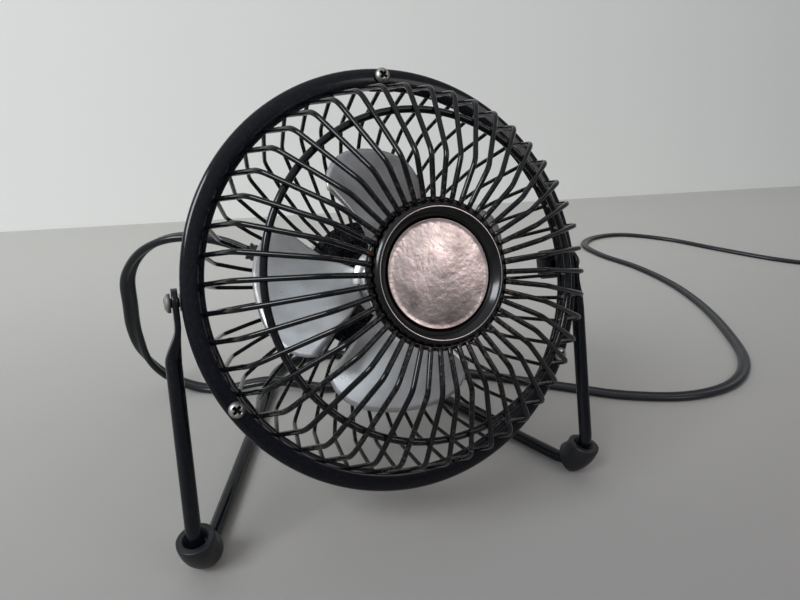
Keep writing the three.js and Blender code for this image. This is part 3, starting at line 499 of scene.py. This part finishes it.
def rounded(corners, step=9):
    """A polyline of (point, radius) corners, each turned on its radius in steps of degrees."""
    points = [corners[0][0]]
    for i in range(1, len(corners) - 1):
        at, radius = corners[i]
        back = (corners[i - 1][0] - at).normalized()
        ahead = (corners[i + 1][0] - at).normalized()
        half = back.angle(ahead) / 2
        turn = math.pi - 2 * half
        centre = at + (back + ahead).normalized() * radius / math.sin(half)
        start = at + back * radius / math.tan(half) - centre
        axis = start.cross(at - centre).normalized()
        steps = max(2, round(math.degrees(turn) / step))
        points += [centre + Quaternion(axis, turn * k / steps) @ start for k in range(steps + 1)]
    points.append(corners[-1][0])
    return points


def smooth_path(points, spacing):
    """A Catmull-Rom curve through points, resampled evenly; returns its points."""
    fine = []
    padded = [2 * points[0] - points[1], *points, 2 * points[-1] - points[-2]]
    for p0, p1, p2, p3 in zip(padded, padded[1:], padded[2:], padded[3:]):
        for k in range(24):
            t = k / 24
            fine.append(0.5 * (2 * p1 + (p2 - p0) * t + (2 * p0 - 5 * p1 + 4 * p2 - p3) * t * t
                               + (3 * p1 - p0 - 3 * p2 + p3) * t ** 3))
    fine.append(points[-1])
    return resample(fine, spacing)


def resample(fine, spacing):
    """The same line by points that are evenly spaced along it."""
    total = sum((b - a).length for a, b in zip(fine, fine[1:]))
    count = max(2, round(total / spacing))
    out = [fine[0]]
    walked = 0.0
    target = total / count
    for a, b in zip(fine, fine[1:]):
        length = (b - a).length
        while walked + length >= target * len(out) - 1e-9 and len(out) < count:
            out.append(a.lerp(b, (target * len(out) - walked) / length))
        walked += length
    out.append(fine[-1])
    return out


def densify(points, longest):
    """The same line with no step longer than longest."""
    out = [points[0]]
    for a, b in zip(points, points[1:]):
        steps = max(1, math.ceil((b - a).length / longest))
        out += [a.lerp(b, k / steps) for k in range(1, steps + 1)]
    return out


def turned(name, outline, mat, body, replaced=(), segments=96,
           to_world=place, dust_and_painted_light=None):
    """A solid of revolution about the fan's axis from a closed outline of (radius, o) points."""
    shape = Shape()
    rows = []
    for k in range(segments):
        angle = math.tau * k / segments
        rows.append([to_world(r * math.cos(angle), o, r * math.sin(angle)) for r, o in outline])
    shape.grid(rows, closed_rows=True)
    amount = None
    if dust_and_painted_light:
        amount = [dust_and_painted_light(r) for _ in range(segments) for r, _o in outline]
    obj = build(name, shape.verts, shape.faces, mat, body, replaced, dust_and_painted_light=amount)
    weld(obj)


def weld(obj, distance=1e-6):
    """Joins points that coincide and turns every face outwards."""
    bm = bmesh.new()
    bm.from_mesh(obj.data)
    bmesh.ops.remove_doubles(bm, verts=bm.verts, dist=distance)
    bmesh.ops.recalc_face_normals(bm, faces=bm.faces)
    bm.to_mesh(obj.data)
    bm.free()


def soften(obj, width):
    """Small rounded edges, and smooth shading that keeps the corners."""
    bevel = obj.modifiers.new("edges", "BEVEL")
    bevel.width = width * MM
    bevel.segments = 2
    bevel.limit_method = "ANGLE"
    bevel.angle_limit = math.radians(35)
    weighted = obj.modifiers.new("shade", "WEIGHTED_NORMAL")
    weighted.keep_sharp = True


# ---------------------------------------------------------------- cord
# Heights of the cord's middle: lying on the desk, and over a base rod.
ROD_CLEARANCE = 1
LIE = CORD_THICKNESS / 2 + 0.1
CROSS = 2 * ROD + ROD_CLEARANCE + CORD_THICKNESS / 2
RELIEF_O = -60.4
RELIEF_LENGTH = 24
RELIEF_END = MOTOR_RADIUS + RELIEF_LENGTH
RELIEF_ANGLE = math.radians(25)
EXIT_REACH = RELIEF_END - 2
EXIT = place(-EXIT_REACH * math.cos(RELIEF_ANGLE), RELIEF_O, EXIT_REACH * math.sin(RELIEF_ANGLE))
ROUTE = [
    tuple(EXIT), (-50.8, 64.9, 86), (-62.2, 67.7, 88.3), (-73.6, 72.7, 86.6), (-83.4, 79.6, 79.7),
    (-89.6, 87.2, 67.5), (-90.4, 93.7, 51.9), (-90.4, 99.4, 37.5), (-87.6, 103.6, 22.9),
    (-80.7, 104.3, 11.8), (-70.8, 102.3, 4.6), (-59.8, 98.1, 1.8), (-49.2, 92.4, 3.1),
    (-40.7, 88.3, 6.1), (-31.3, 85.1, CROSS), (-20, 81.9, 6.1), (-8, 78.8, 3.1), (6, 76.5, 2.9),
    (20, 76, 6), (34, 76.5, CROSS), (47, 76, 6), (59, 74, 2.8),
    (72, 70, LIE), (112, 40, LIE), (138, 21, LIE), (170, 9, LIE), (204, 11, LIE), (236, 30, LIE),
    (264, 66, LIE), (288, 108, LIE), (304, 152, LIE), (309, 196, LIE), (304, 236, LIE),
    (312, 270, LIE), (342, 290, LIE), (380, 291, LIE), (413, 262, LIE), (433, 220, LIE),
    (456, 178, LIE), (483.4, 148.5, LIE),
]
COIL = Vector((470.2, 104.4, 0))
COIL_OUTER_TURN = 39.6
COIL_INNER_TURN = 33.0
COIL_START = 42.8
COIL_SWEPT = COIL_START + 90 + 720
# The turning, in degrees, over which the cord moves to the inner turn, back out, and up.
COIL_INWARD = (320, 385)
COIL_OUTWARD = (705, 765)
COIL_UPWARD = (655, 705)
PLUG_START = 446.2
PLUG_ENTRY_Z = 6.2
CORD_SPACING = 2.2


def coil_point(swept):
    """Where the cord is after turning this far, in degrees, clockwise round the coil."""
    span = COIL_OUTER_TURN - COIL_INNER_TURN
    radius = (COIL_OUTER_TURN - span * eased(swept, *COIL_INWARD)
              + span * eased(swept, *COIL_OUTWARD))
    height = LIE + (CORD_THICKNESS + 0.2) * eased(swept, *COIL_UPWARD)
    angle = math.radians(COIL_START - swept)
    return COIL + Vector((radius * math.cos(angle), radius * math.sin(angle), height))


def cord_line():
    free = [Vector(p) for p in ROUTE]
    turns = [coil_point(a) for a in range(0, int(COIL_SWEPT), 12)] + [coil_point(COIL_SWEPT)]
    tail = [Vector((PLUG_START - 2, turns[-1].y, PLUG_ENTRY_Z))]
    return smooth_path(free + turns + tail, CORD_SPACING)


def cord():
    """The flat two-core lead, two round lobes wide, bent between stand and head over its arch."""
    lobe = CORD_WIDTH / 4
    section = []
    for side in (1, -1):
        for k in range(9):
            angle = math.radians(-140 + 35 * k)
            section.append((side * (lobe + lobe * math.cos(angle)),
                            side * CORD_THICKNESS / 2 * math.sin(angle)))
    line = cord_line()
    shape = Shape()
    shape.sweep(line, section, level=True)
    obj = build("mains_cord", shape.verts, shape.faces, CORD_PVC, None,
                ("cord", "cord_coil"))
    weld(obj, 1e-7)
    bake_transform(obj)


# ---------------------------------------------------------------- guards
# (radius, o, bend radius) at each corner of a guard wire, from its first end to its last.
FRONT_CORNERS = [(22.1, 35.05, 0), (35.9, 37.4, 6), (59.6, 25.45, 7), (65.8, 4.7, 0)]
REAR_CORNERS = [(66.2, 3.2, 0), (60.5, -20, 8), (50, -29, 9), (36, -36, 7), (22.8, -35, 0)]
FRONT_WIRE = 0.85
REAR_WIRE = 0.75
HOOP_SEGMENTS = 184
LUG_INNER = 66
LUG_OUTER = 69
TAB_DEPTHS = (2.9, 4.2)


def guard_wires(corners, radius, shape, dust_and_painted_light, dust):
    """All the bent wires of one guard, added to shape, and the dust on each vertex to lint."""
    for i in range(WIRES):
        angle = (i + 0.5) * math.tau / WIRES
        points = rounded([(polar(r, o, angle), bend) for r, o, bend in corners])
        points = densify(points, 3)
        before = len(shape.verts)
        shape.sweep(points, circle(radius, 10), bevel=0.3)
        dust_and_painted_light += [dust(v, i) for v in shape.verts[before:]]


def add_hoop(shape, radius, o, wire, dust_and_painted_light, dust):
    points = [polar(radius, o, math.tau * k / HOOP_SEGMENTS) for k in range(HOOP_SEGMENTS)]
    before = len(shape.verts)
    shape.sweep(points, circle(wire), closed=True)
    dust_and_painted_light += [dust(v, 0) for v in shape.verts[before:]]


def front_dust(vertex, i):
    """More dust close to the cap and on the lower half of the front."""
    local = HEAD.inverted() @ vertex
    radius = math.hypot(local.x, local.z)
    near_cap = max(0, 1 - (radius - 22) / 9)
    below = max(0, -local.z / 60)
    return min(1, 0.04 + 0.55 * near_cap + 0.45 * below * (0.5 + 0.5 * math.sin(i * 2.4)))


def rear_dust(_vertex, _i):
    """The same dust all over the rear."""
    return 0.3


def front_guard():
    shape, dust_and_painted_light = Shape(), []
    guard_wires(FRONT_CORNERS, FRONT_WIRE, shape, dust_and_painted_light, front_dust)
    add_hoop(shape, 51.2, 27.9, 1.15, dust_and_painted_light, front_dust)
    add_hoop(shape, 22.3, 33.5, 1.0, dust_and_painted_light, front_dust)
    build("front_wires", shape.verts, shape.faces, WIRE_PAINT, "head", ("front_guard",), dust_and_painted_light=dust_and_painted_light)
    turned("guard_ring", [
        (RING_INNER, 4.5), (RING_INNER, 5.25), (RING_INNER + 0.25, 5.5), (69, 5.5), (70.5, 5.44),
        (71.2, 5.3), (71.75, 5.08), (72.15, 4.75), (72.4, 4.35), (RING_OUTER, 3.9), (RING_OUTER, 3),
        (71.8, 3), (71.8, 4.3), (71.2, 4.5),
    ], RING_PAINT, "head", ("front_guard",), segments=HOOP_SEGMENTS, dust_and_painted_light=lambda r: 0.05)


def rear_guard():
    shape, dust_and_painted_light = Shape(), []
    guard_wires(REAR_CORNERS, REAR_WIRE, shape, dust_and_painted_light, rear_dust)
    add_hoop(shape, 66.2, 3.2, 1.0, dust_and_painted_light, rear_dust)
    build("rear_wires", shape.verts, shape.faces, WIRE_PAINT, "head", ("rear_guard",), dust_and_painted_light=dust_and_painted_light)
    turned("mount_plate", [(6.5, -36.6), (25.3, -36.6), (25.5, -36.4), (25.5, -35.6), (25.3, -35.4),
                           (6.5, -35.4)], RING_PAINT, "head", ("rear_guard",), dust_and_painted_light=lambda r: 0.2)
    for name, sign in SIDES:
        lug(f"pivot_lug_{name}", sign)
    for i, angle in enumerate(RING_SCREW_ANGLES, 1):
        tab(f"ring_tab_{i}", angle)


def rear_guard_plate(name, outline, depths, to_world, edge):
    """A flat outline of (a, b) points carried from one depth to another, with eased edges."""
    shape = Shape()
    rows = [[to_world(d, a, b) for a, b in outline] for d in depths]
    width = len(outline)
    start = shape.grid(rows)
    shape.cap(start, width, flip=True)
    shape.cap(start + width, width)
    obj = build(name, shape.verts, shape.faces, RING_PAINT, "head", ("rear_guard",),
                dust_and_painted_light=[0.1] * len(shape.verts))
    weld(obj)
    soften(obj, edge)


def lug(name, sign):
    """The plate on the rear guard's rim that takes a pivot screw."""
    corner = 3
    outline = [(4.2, -5.75)]
    for middle, start in ((-2.75, 0), (2.75, math.pi / 2)):
        outline += [(-8.5 - corner * math.sin(a), middle - corner * math.cos(a))
                    for a in spaced(start, start + math.pi / 2, 5)]
    outline.append((4.2, 5.75))
    rear_guard_plate(name, outline, (LUG_INNER, LUG_OUTER),
                     lambda d, a, b: place(sign * d, a, b), 0.5)


def tab(name, angle):
    """The plate behind the ring that takes a ring screw."""
    def to_world(d, a, b):
        x = a * math.cos(angle) - b * math.sin(angle)
        z = a * math.sin(angle) + b * math.cos(angle)
        return place(x, d, z)

    outline = [(64.8, -4.5), (70.9, -4.5), (71.2, -2), (71.3, 0), (71.2, 2), (70.9, 4.5),
               (64.8, 4.5)]
    rear_guard_plate(name, outline, TAB_DEPTHS, to_world, 0.35)


# ---------------------------------------------------------------- cap and badge
def crowned(radius, o, rise):
    """A shallow dome from its rim to its middle."""
    return [(radius * (1 - k / 12), o + rise * (1 - (1 - k / 12) ** 2)) for k in range(13)]


def cap():
    # The number per vertex marks the crest, 19.8 to 20 mm out, where the enamel paints a highlight
    # as pale bare metal.
    turned("cap_bezel_look", [
        (0, 33.1), (16.85, 33.1), (17.1, 33.25), (17.3, 34.2), (18.2, 35.2), (19.1, 36.15),
        (19.5, 36.45), (19.74, 36.58), (19.82, 36.62), (19.98, 36.62), (20.06, 36.58), (20.3, 36.5),
        (20.7, 36.3), (21.2, 35.9), (21.5, 35.45), (21.6, 35.1), (21.5, 34.85), (20.9, 34.6),
        (18.4, 32.1), (2, 32.1), (2, 26.8), (0, 26.8),
    ], CAP_PAINT, "head", ("cap_bezel",), segments=128, dust_and_painted_light=lambda r: 1 if 19.8 < r < 20 else 0)
    turned("badge_look", [(0, 33.4), (16.6, 33.4), (16.6, 33.98), (16.53, 34.07), (16.42, 34.05),
                          *crowned(16.34, 34, 0.55)],
           FOIL, "head", ("badge_disc",))


# ---------------------------------------------------------------- screws
RING_SCREW_CIRCLE = 69.4
BOLT_CIRCLE = 20.35
BOLT_ANGLES = tuple(math.radians(degrees) for degrees in (45, 225))
PIVOT_SEAT = 75.3
# A head's rim, as a share of its height, and its recess, as shares of its radius and height.
RIM_HEIGHT = 0.42
RECESS_ARM = 0.2
RECESS_REACH = 0.6
RECESS_DEPTH = 0.7


def pan_head(name, node_name, radius, height, at, axis):
    """A cross-recessed pan head; at is the middle of its seat and axis points out of it."""
    side = axis.orthogonal().normalized()
    other = axis.cross(side)
    rows, shade_and_grime = [], []
    rings = 26
    around = 96
    for j in range(rings + 1):
        t = j / rings
        row = []
        for k in range(around):
            angle = math.tau * k / around
            r = radius * math.sin(t * math.pi / 2) ** 0.8 if t < 1 else radius
            h = height * (RIM_HEIGHT + (1 - RIM_HEIGHT) * (1 - (r / radius) ** 4))
            x, y = r * math.cos(angle), r * math.sin(angle)
            arm = min(abs(x), abs(y)) / (radius * RECESS_ARM)
            recessed = arm < 1 and max(abs(x), abs(y)) < radius * RECESS_REACH
            if recessed:
                h -= height * RECESS_DEPTH * (1 - arm ** 6)
            # Painted shade and grime: the cross recess, the rim of the head and its underside are
            # marked for the steel to draw near black.
            shade_and_grime.append(0.95 if recessed else 0.55 * max(0, r / radius - 0.86) / 0.14)
            row.append(at + side * x + other * y + axis * h)
        rows.append(row)
    rows.append([at + side * radius * math.cos(math.tau * k / around)
                 + other * radius * math.sin(math.tau * k / around) for k in range(around)])
    shade_and_grime += [0.6] * around
    shape = Shape()
    start = shape.grid(rows)
    shape.cap(start + (len(rows) - 1) * around, around)
    obj = build(name, shape.verts, shape.faces, STEEL, "head", (node_name,), dust_and_painted_light=shade_and_grime)
    weld(obj, 1e-7)


def shank(name, radius, start, end):
    """The plain round length of a screw below its head."""
    shape = Shape()
    shape.sweep([start, start.lerp(end, 0.5), end], circle(radius, 16))
    build(name, shape.verts, shape.faces, STEEL, "head", ())


def screws():
    out = (place(0, 1, 0) - place(0, 0, 0)).normalized()
    for i, angle in enumerate(RING_SCREW_ANGLES, 1):
        pan_head(f"ring_screw_head_{i}", f"ring_screw_{i}", 2.6, 1.9,
                 polar(RING_SCREW_CIRCLE, 5.8, angle), out)
        shank(f"ring_screw_shank_{i}", 1.2, polar(RING_SCREW_CIRCLE, 0.4, angle),
              polar(RING_SCREW_CIRCLE, 5.9, angle))
    for name, sign in SIDES:
        side = Vector((sign, 0, 0))
        pan_head(f"pivot_head_{name}", f"pivot_screw_{name}", 3, 2,
                 place(sign * PIVOT_SEAT, 0, 0), side)
        shank(f"pivot_shank_{name}", 1.5, place(sign * LUG_INNER, 0, 0),
              place(sign * (PIVOT_SEAT + 0.1), 0, 0))
    for i, angle in enumerate(BOLT_ANGLES, 1):
        pan_head(f"bolt_head_{i}", f"through_bolt_{i}", 2, 1.5,
                 polar(BOLT_CIRCLE, -66.8, angle), -out)
        shank(f"bolt_shank_{i}", 1, polar(BOLT_CIRCLE, -37.5, angle),
              polar(BOLT_CIRCLE, -66.9, angle))


# ---------------------------------------------------------------- blades
BLADES = 4
BLADE_MIDDLE = -10.5
BLADE_ROOT = 11
BLADE_HALF_THICK = 0.5
BLADE_RISE = 21.1
RISE_FROM = 10
RISE_OVER = 14.25


def blade_rise(radius):
    """How far a blade at this radius climbs along the axis for each radian round it."""
    t = min(1, max(0, (radius - RISE_FROM) / RISE_OVER))
    return BLADE_RISE * t * t * (3 - 2 * t)


def blade_point(u, v, side, angle):
    """A point of a blade: u from -1 to 1 round the axis, v from 0 at its root to 1 at its tip."""
    reach = BLADE_RADIUS - 9 * abs(u) ** 4
    radius = BLADE_ROOT + v * (reach - BLADE_ROOT)
    half = math.radians(26 + 9 * v)
    rise = blade_rise(radius)
    slope = math.hypot(1, rise / radius)
    o = BLADE_MIDDLE + rise * u * half + side * BLADE_HALF_THICK * slope
    return polar(radius, o, angle + u * half)


def blades():
    """Four pitched blades, each a closed skin of two faces and a rim, on a disc and a hub."""
    shape = Shape()
    across = 24
    along = 18
    for i in range(BLADES):
        angle = i * math.tau / BLADES
        for side in (1, -1):
            rows = [[blade_point(2 * a / across - 1, b / along, side, angle)
                     for b in range(along + 1)] for a in range(across + 1)]
            if side < 0:
                rows.reverse()
            shape.grid(rows, closed_columns=False)
        edge = [(2 * a / across - 1, 0) for a in range(across)]
        edge += [(1, b / along) for b in range(along)]
        edge += [(1 - 2 * a / across, 1) for a in range(across)]
        edge += [(-1, 1 - b / along) for b in range(along)]
        rows = [[blade_point(u, v, side, angle) for u, v in edge] for side in (1, -1)]
        shape.grid(rows)
    obj = build("blade_wheel", shape.verts, shape.faces, BLADE_METAL, "rotor", ("blades",))
    weld(obj)
    turned("blade_disc", [(6.3, -11), (13.5, -11), (13.5, -10), (6.3, -10)], BLADE_METAL, "rotor",
           ("blades",))
    turned("hub_look", [
        (2.3, -24), (5.6, -24), (6, -23.6), (6, -9.7), (10.2, -9.7), (10.5, -9.5), (10.5, -8.7),
        (10.2, -8.4), (7.2, -7.9), (6.4, -7.2), (5.6, -4.3), (5.2, -4), (2.3, -4),
    ], HUB_METAL, "rotor", ("blade_hub",), segments=64)


# ---------------------------------------------------------------- motor
def motor():
    turned("motor_can", [
        (2.6, -34.5), (6, -34.5), (6.2, -34.7), (6.2, -36.9), (22.8, -36.9), (23.5, -37.15),
        (24, -37.9), (24, -38.5), (24, -45), (24, -54), (24, -54.8), (23.8, -55), (22.4, -55),
        (22.4, -38.9), (6.8, -38.9), (6.8, -44), (4.8, -44), (4.8, -35.2), (2.6, -35.2),
    ], MOTOR_PAINT, "head", ("motor_housing",), dust_and_painted_light=lambda r: 0.15)


def relief():
    """The tapered sleeve where the cord leaves the motor, ribbed all round."""
    outline = [(0, 20.2), (3.9, 20.2), (3.9, 21.6), (2.9, 21.6), (2.9, 24.3), (4.7, 24.3),
               (5, 24.6), (5, 26.2)]
    for k in range(8):
        start = 27.2 + k * 2.2
        radius = 4.6 - 0.07 * (start - 27)
        groove = radius - 0.45
        outline += [(groove, start - 0.5), (groove, start), (radius, start + 0.2),
                    (radius, start + 1.3), (groove, start + 1.5)]
    outline += [(3.7, 45.6), (3.4, 46), (0, 46)]

    def to_world(a, reach, b):
        x = -reach * math.cos(RELIEF_ANGLE) + b * math.sin(RELIEF_ANGLE)
        z = reach * math.sin(RELIEF_ANGLE) + b * math.cos(RELIEF_ANGLE)
        return place(x, RELIEF_O + a, z)

    turned("strain_relief_look", outline, RUBBER, "head", ("strain_relief",), segments=48,
           to_world=to_world)


# ---------------------------------------------------------------- stand
FOOT_BEND = 12
FOOT_OUTER = 6.2
SOLE_FROM = math.radians(34)
SOLE_TO = math.radians(84)
BASE_Z = (FOOT_BEND + FOOT_OUTER) * math.cos(SOLE_FROM) - FOOT_BEND
PIVOT = Vector((LEG_X, 0, PIVOT_Z))
CORNER = Vector((LEG_X, -25.6, BASE_Z))
APEX = Vector((0, 166, ROD))
LEG_DOWN = (CORNER - PIVOT).normalized()
# Down the leg from the pivot: the eye's end, the end of its flat, and the start of the round rod.
FLAT_FROM = -4.5
FLAT_TO = 8.5
ROUND_FROM = 19

EYE_MIDDLE = 74
EYE_RADIUS = 4.5
EYE_THICK = 2
ROD_SIDES = 28
LEG_ROWS = 48
FOOT_BORE = 2.9
FOOT_SIDES = 40


def mirrored(v):
    return Vector((-v.x, v.y, v.z))


def leg_end(sign):
    """Rows of points down one leg: the hammered flat eye, swelling into the round rod."""
    side = Vector((sign, 0, 0))
    across = LEG_DOWN.cross(side)
    rows = []
    for k in range(LEG_ROWS + 1):
        s = FLAT_FROM + 0.02 + (ROUND_FROM - FLAT_FROM) * (k / LEG_ROWS) ** 1.3
        blend = eased(s, FLAT_TO, ROUND_FROM - 1)
        middle = EYE_MIDDLE + (LEG_X - EYE_MIDDLE) * eased(s, FLAT_TO - 2, ROUND_FROM)
        half_width = EYE_RADIUS if s > 0 else math.sqrt(EYE_RADIUS ** 2 - s * s)
        half_width += (ROD - half_width) * blend
        half_thick = EYE_THICK / 2 + (ROD - EYE_THICK / 2) * blend
        power = 2 / (6 - 4 * blend)
        centre = Vector((sign * middle, 0, PIVOT_Z)) + LEG_DOWN * s
        row = []
        for n in range(ROD_SIDES):
            angle = math.tau * n / ROD_SIDES
            c, d = math.cos(angle), math.sin(angle)
            a = math.copysign(abs(c) ** power, c) * half_thick
            b = math.copysign(abs(d) ** power, d) * half_width
            row.append(centre + side * a + across * b)
        rows.append(row)
    return rows


def round_rows(points):
    """Rows of points round a bar, in the same order as leg_end's."""
    rows = []
    across = None
    last = len(points) - 1
    for i, point in enumerate(points):
        along = (points[min(i + 1, last)] - points[max(i - 1, 0)]).normalized()
        if across is None:
            across = along.cross(Vector((1, 0, 0))).normalized()
        else:
            across = (across - along * across.dot(along)).normalized()
        side = across.cross(along)
        rows.append([point + (side * a + across * b) * ROD for a, b in circle(1, ROD_SIDES)])
    return rows


def stand():
    """One bar from eye to eye, and the two rubber sleeves."""
    start = PIVOT + LEG_DOWN * ROUND_FROM
    corners = [(start, 0), (CORNER, FOOT_BEND), (APEX, 30), (mirrored(CORNER), FOOT_BEND),
               (mirrored(start), 0)]
    bar = round_rows(densify(rounded(corners, 5), 12))
    left_end = leg_end(-1)[::-1]
    shape = Shape()
    rows = leg_end(1) + bar[1:-1]
    turn = closest_turn(rows[-1], left_end[0])
    rows += [turn(row) for row in left_end]
    start = shape.grid(rows)
    shape.cap(start, ROD_SIDES, flip=True)
    shape.cap(start + (len(rows) - 1) * ROD_SIDES, ROD_SIDES)
    obj = build("stand_bar", shape.verts, shape.faces, ROD_PAINT, "stand", ("stand_rod",),
                dust_and_painted_light=[0.05] * len(shape.verts))
    weld(obj)
    for name, sign in SIDES:
        foot(f"foot_{name}_look", f"foot_{name}", sign)


def closest_turn(before, row):
    """How to renumber a row so that its points line up with the row before it."""
    count = len(row)
    choices = []
    for step in (1, -1):
        for shift in range(count):
            gap = sum((before[n] - row[(shift + step * n) % count]).length
                      for n in range(0, count, 4))
            choices.append((gap, shift, step))
    _, shift, step = min(choices)
    return lambda points: [points[(shift + step * n) % count] for n in range(count)]


def bend_point(angle):
    """A point of the rod's front bend, this far round it from the base rod."""
    back = (APEX - CORNER).normalized()
    up = -LEG_DOWN
    tangent = CORNER + back * FOOT_BEND / math.tan(back.angle(up) / 2)
    inward = (up - back * up.dot(back)).normalized()
    return tangent + inward * FOOT_BEND * (1 - math.cos(angle)) - back * FOOT_BEND * math.sin(angle)


def foot(name, node_name, sign):
    """A short rubber sleeve that follows the bend, with a wider mouth round the leg."""
    line = [bend_point(a) for a in spaced(SOLE_FROM, SOLE_TO, 12)]
    rows = frames(line, False, False)
    outside = [(0, FOOT_BORE), (0, FOOT_OUTER - 0.5), (0, FOOT_OUTER - 0.12)]
    outside += [(i, FOOT_OUTER) for i in range(1, len(rows) - 1)]
    mouth = [(-1, FOOT_OUTER - 0.12), (-1, FOOT_OUTER - 0.5), (-1, 4.4), (-1, 4.1), (-3, 4.0)]
    bore = [(-3, FOOT_BORE)] + [(i, FOOT_BORE) for i in range(len(rows) - 4, 0, -1)]
    loops = []
    for i, radius in outside + mouth + bore:
        middle, across, up, _ = rows[i]
        loops.append([middle + (across * a + up * b) * radius for a, b in circle(1, FOOT_SIDES)])
    if sign < 0:
        loops = [[mirrored(v) for v in row] for row in loops]
    shape = Shape()
    shape.grid(loops, closed_rows=True)
    obj = build(name, shape.verts, shape.faces, RUBBER, "stand", (node_name,))
    weld(obj, 1e-7)


# ---------------------------------------------------------------- the rest of the CAD
def finish_nodes():
    """Materials for the CAD nodes, by the record's slots."""
    finishes = {
        "steel": STEEL, "copper_wire": COPPER, "bronze": BRONZE, "aluminium": BLADE_METAL,
        "black_plastic": PLASTIC, "pin_brass": BRASS, "black_paint": MOTOR_PAINT, "rubber": RUBBER,
        "cord_pvc": CORD_PVC, "badge_foil": FOIL,
    }
    for entry in frame["record"]["subparts"]:
        mesh = nodes[entry["node"]].data
        mesh.materials.clear()
        mesh.materials.append(finishes[entry["material_slot"]])


WIRE_PAINT = gloss_paint("wire_enamel", rusty=True)
RING_PAINT = gloss_paint("ring_enamel", base=(0.0012, 0.0018, 0.0046))
ROD_PAINT = gloss_paint("rod_enamel", base=(0.0022, 0.0032, 0.0055))
CAP_PAINT = bezel_paint()
MOTOR_PAINT = gloss_paint("motor_enamel", base=(0.008, 0.008, 0.01))
FOIL = foil()
STEEL = bare_metal("zinc_steel", (0.44, 0.43, 0.41), 0.32, 900)
COPPER = bare_metal("copper_enamel", (0.55, 0.24, 0.10), 0.35, 2000)
BRONZE = bare_metal("bearing_bronze", (0.42, 0.28, 0.13), 0.45, 800)
BRASS = bare_metal("pin_brass", (0.62, 0.47, 0.22), 0.25, 900)
HUB_METAL = bare_metal("hub_aluminium", (0.55, 0.56, 0.57), 0.35, 900)
BLADE_METAL = blade_metal()
RUBBER = soft_plastic("black_rubber", (0.006, 0.006, 0.0085), 0.45)
CORD_PVC = soft_plastic("cord_sheath", (0.007, 0.008, 0.011), 0.24, 300, 0.02)
PLASTIC = soft_plastic("moulded_plastic", (0.012, 0.012, 0.014), 0.4)

world()
camera()
stage()
finish_nodes()
cord()
front_guard()
rear_guard()
cap()
screws()
blades()
motor()
relief()
stand()
light("window_left", (-1000, -450, 1000), (0, 0, 80), 15, (0.92, 0.97, 1.0), (650, 480))
light("lamp_right", (490, -616, 575), (0, 0, 90), 1.15, (1.0, 0.90, 0.87), (420, 380))
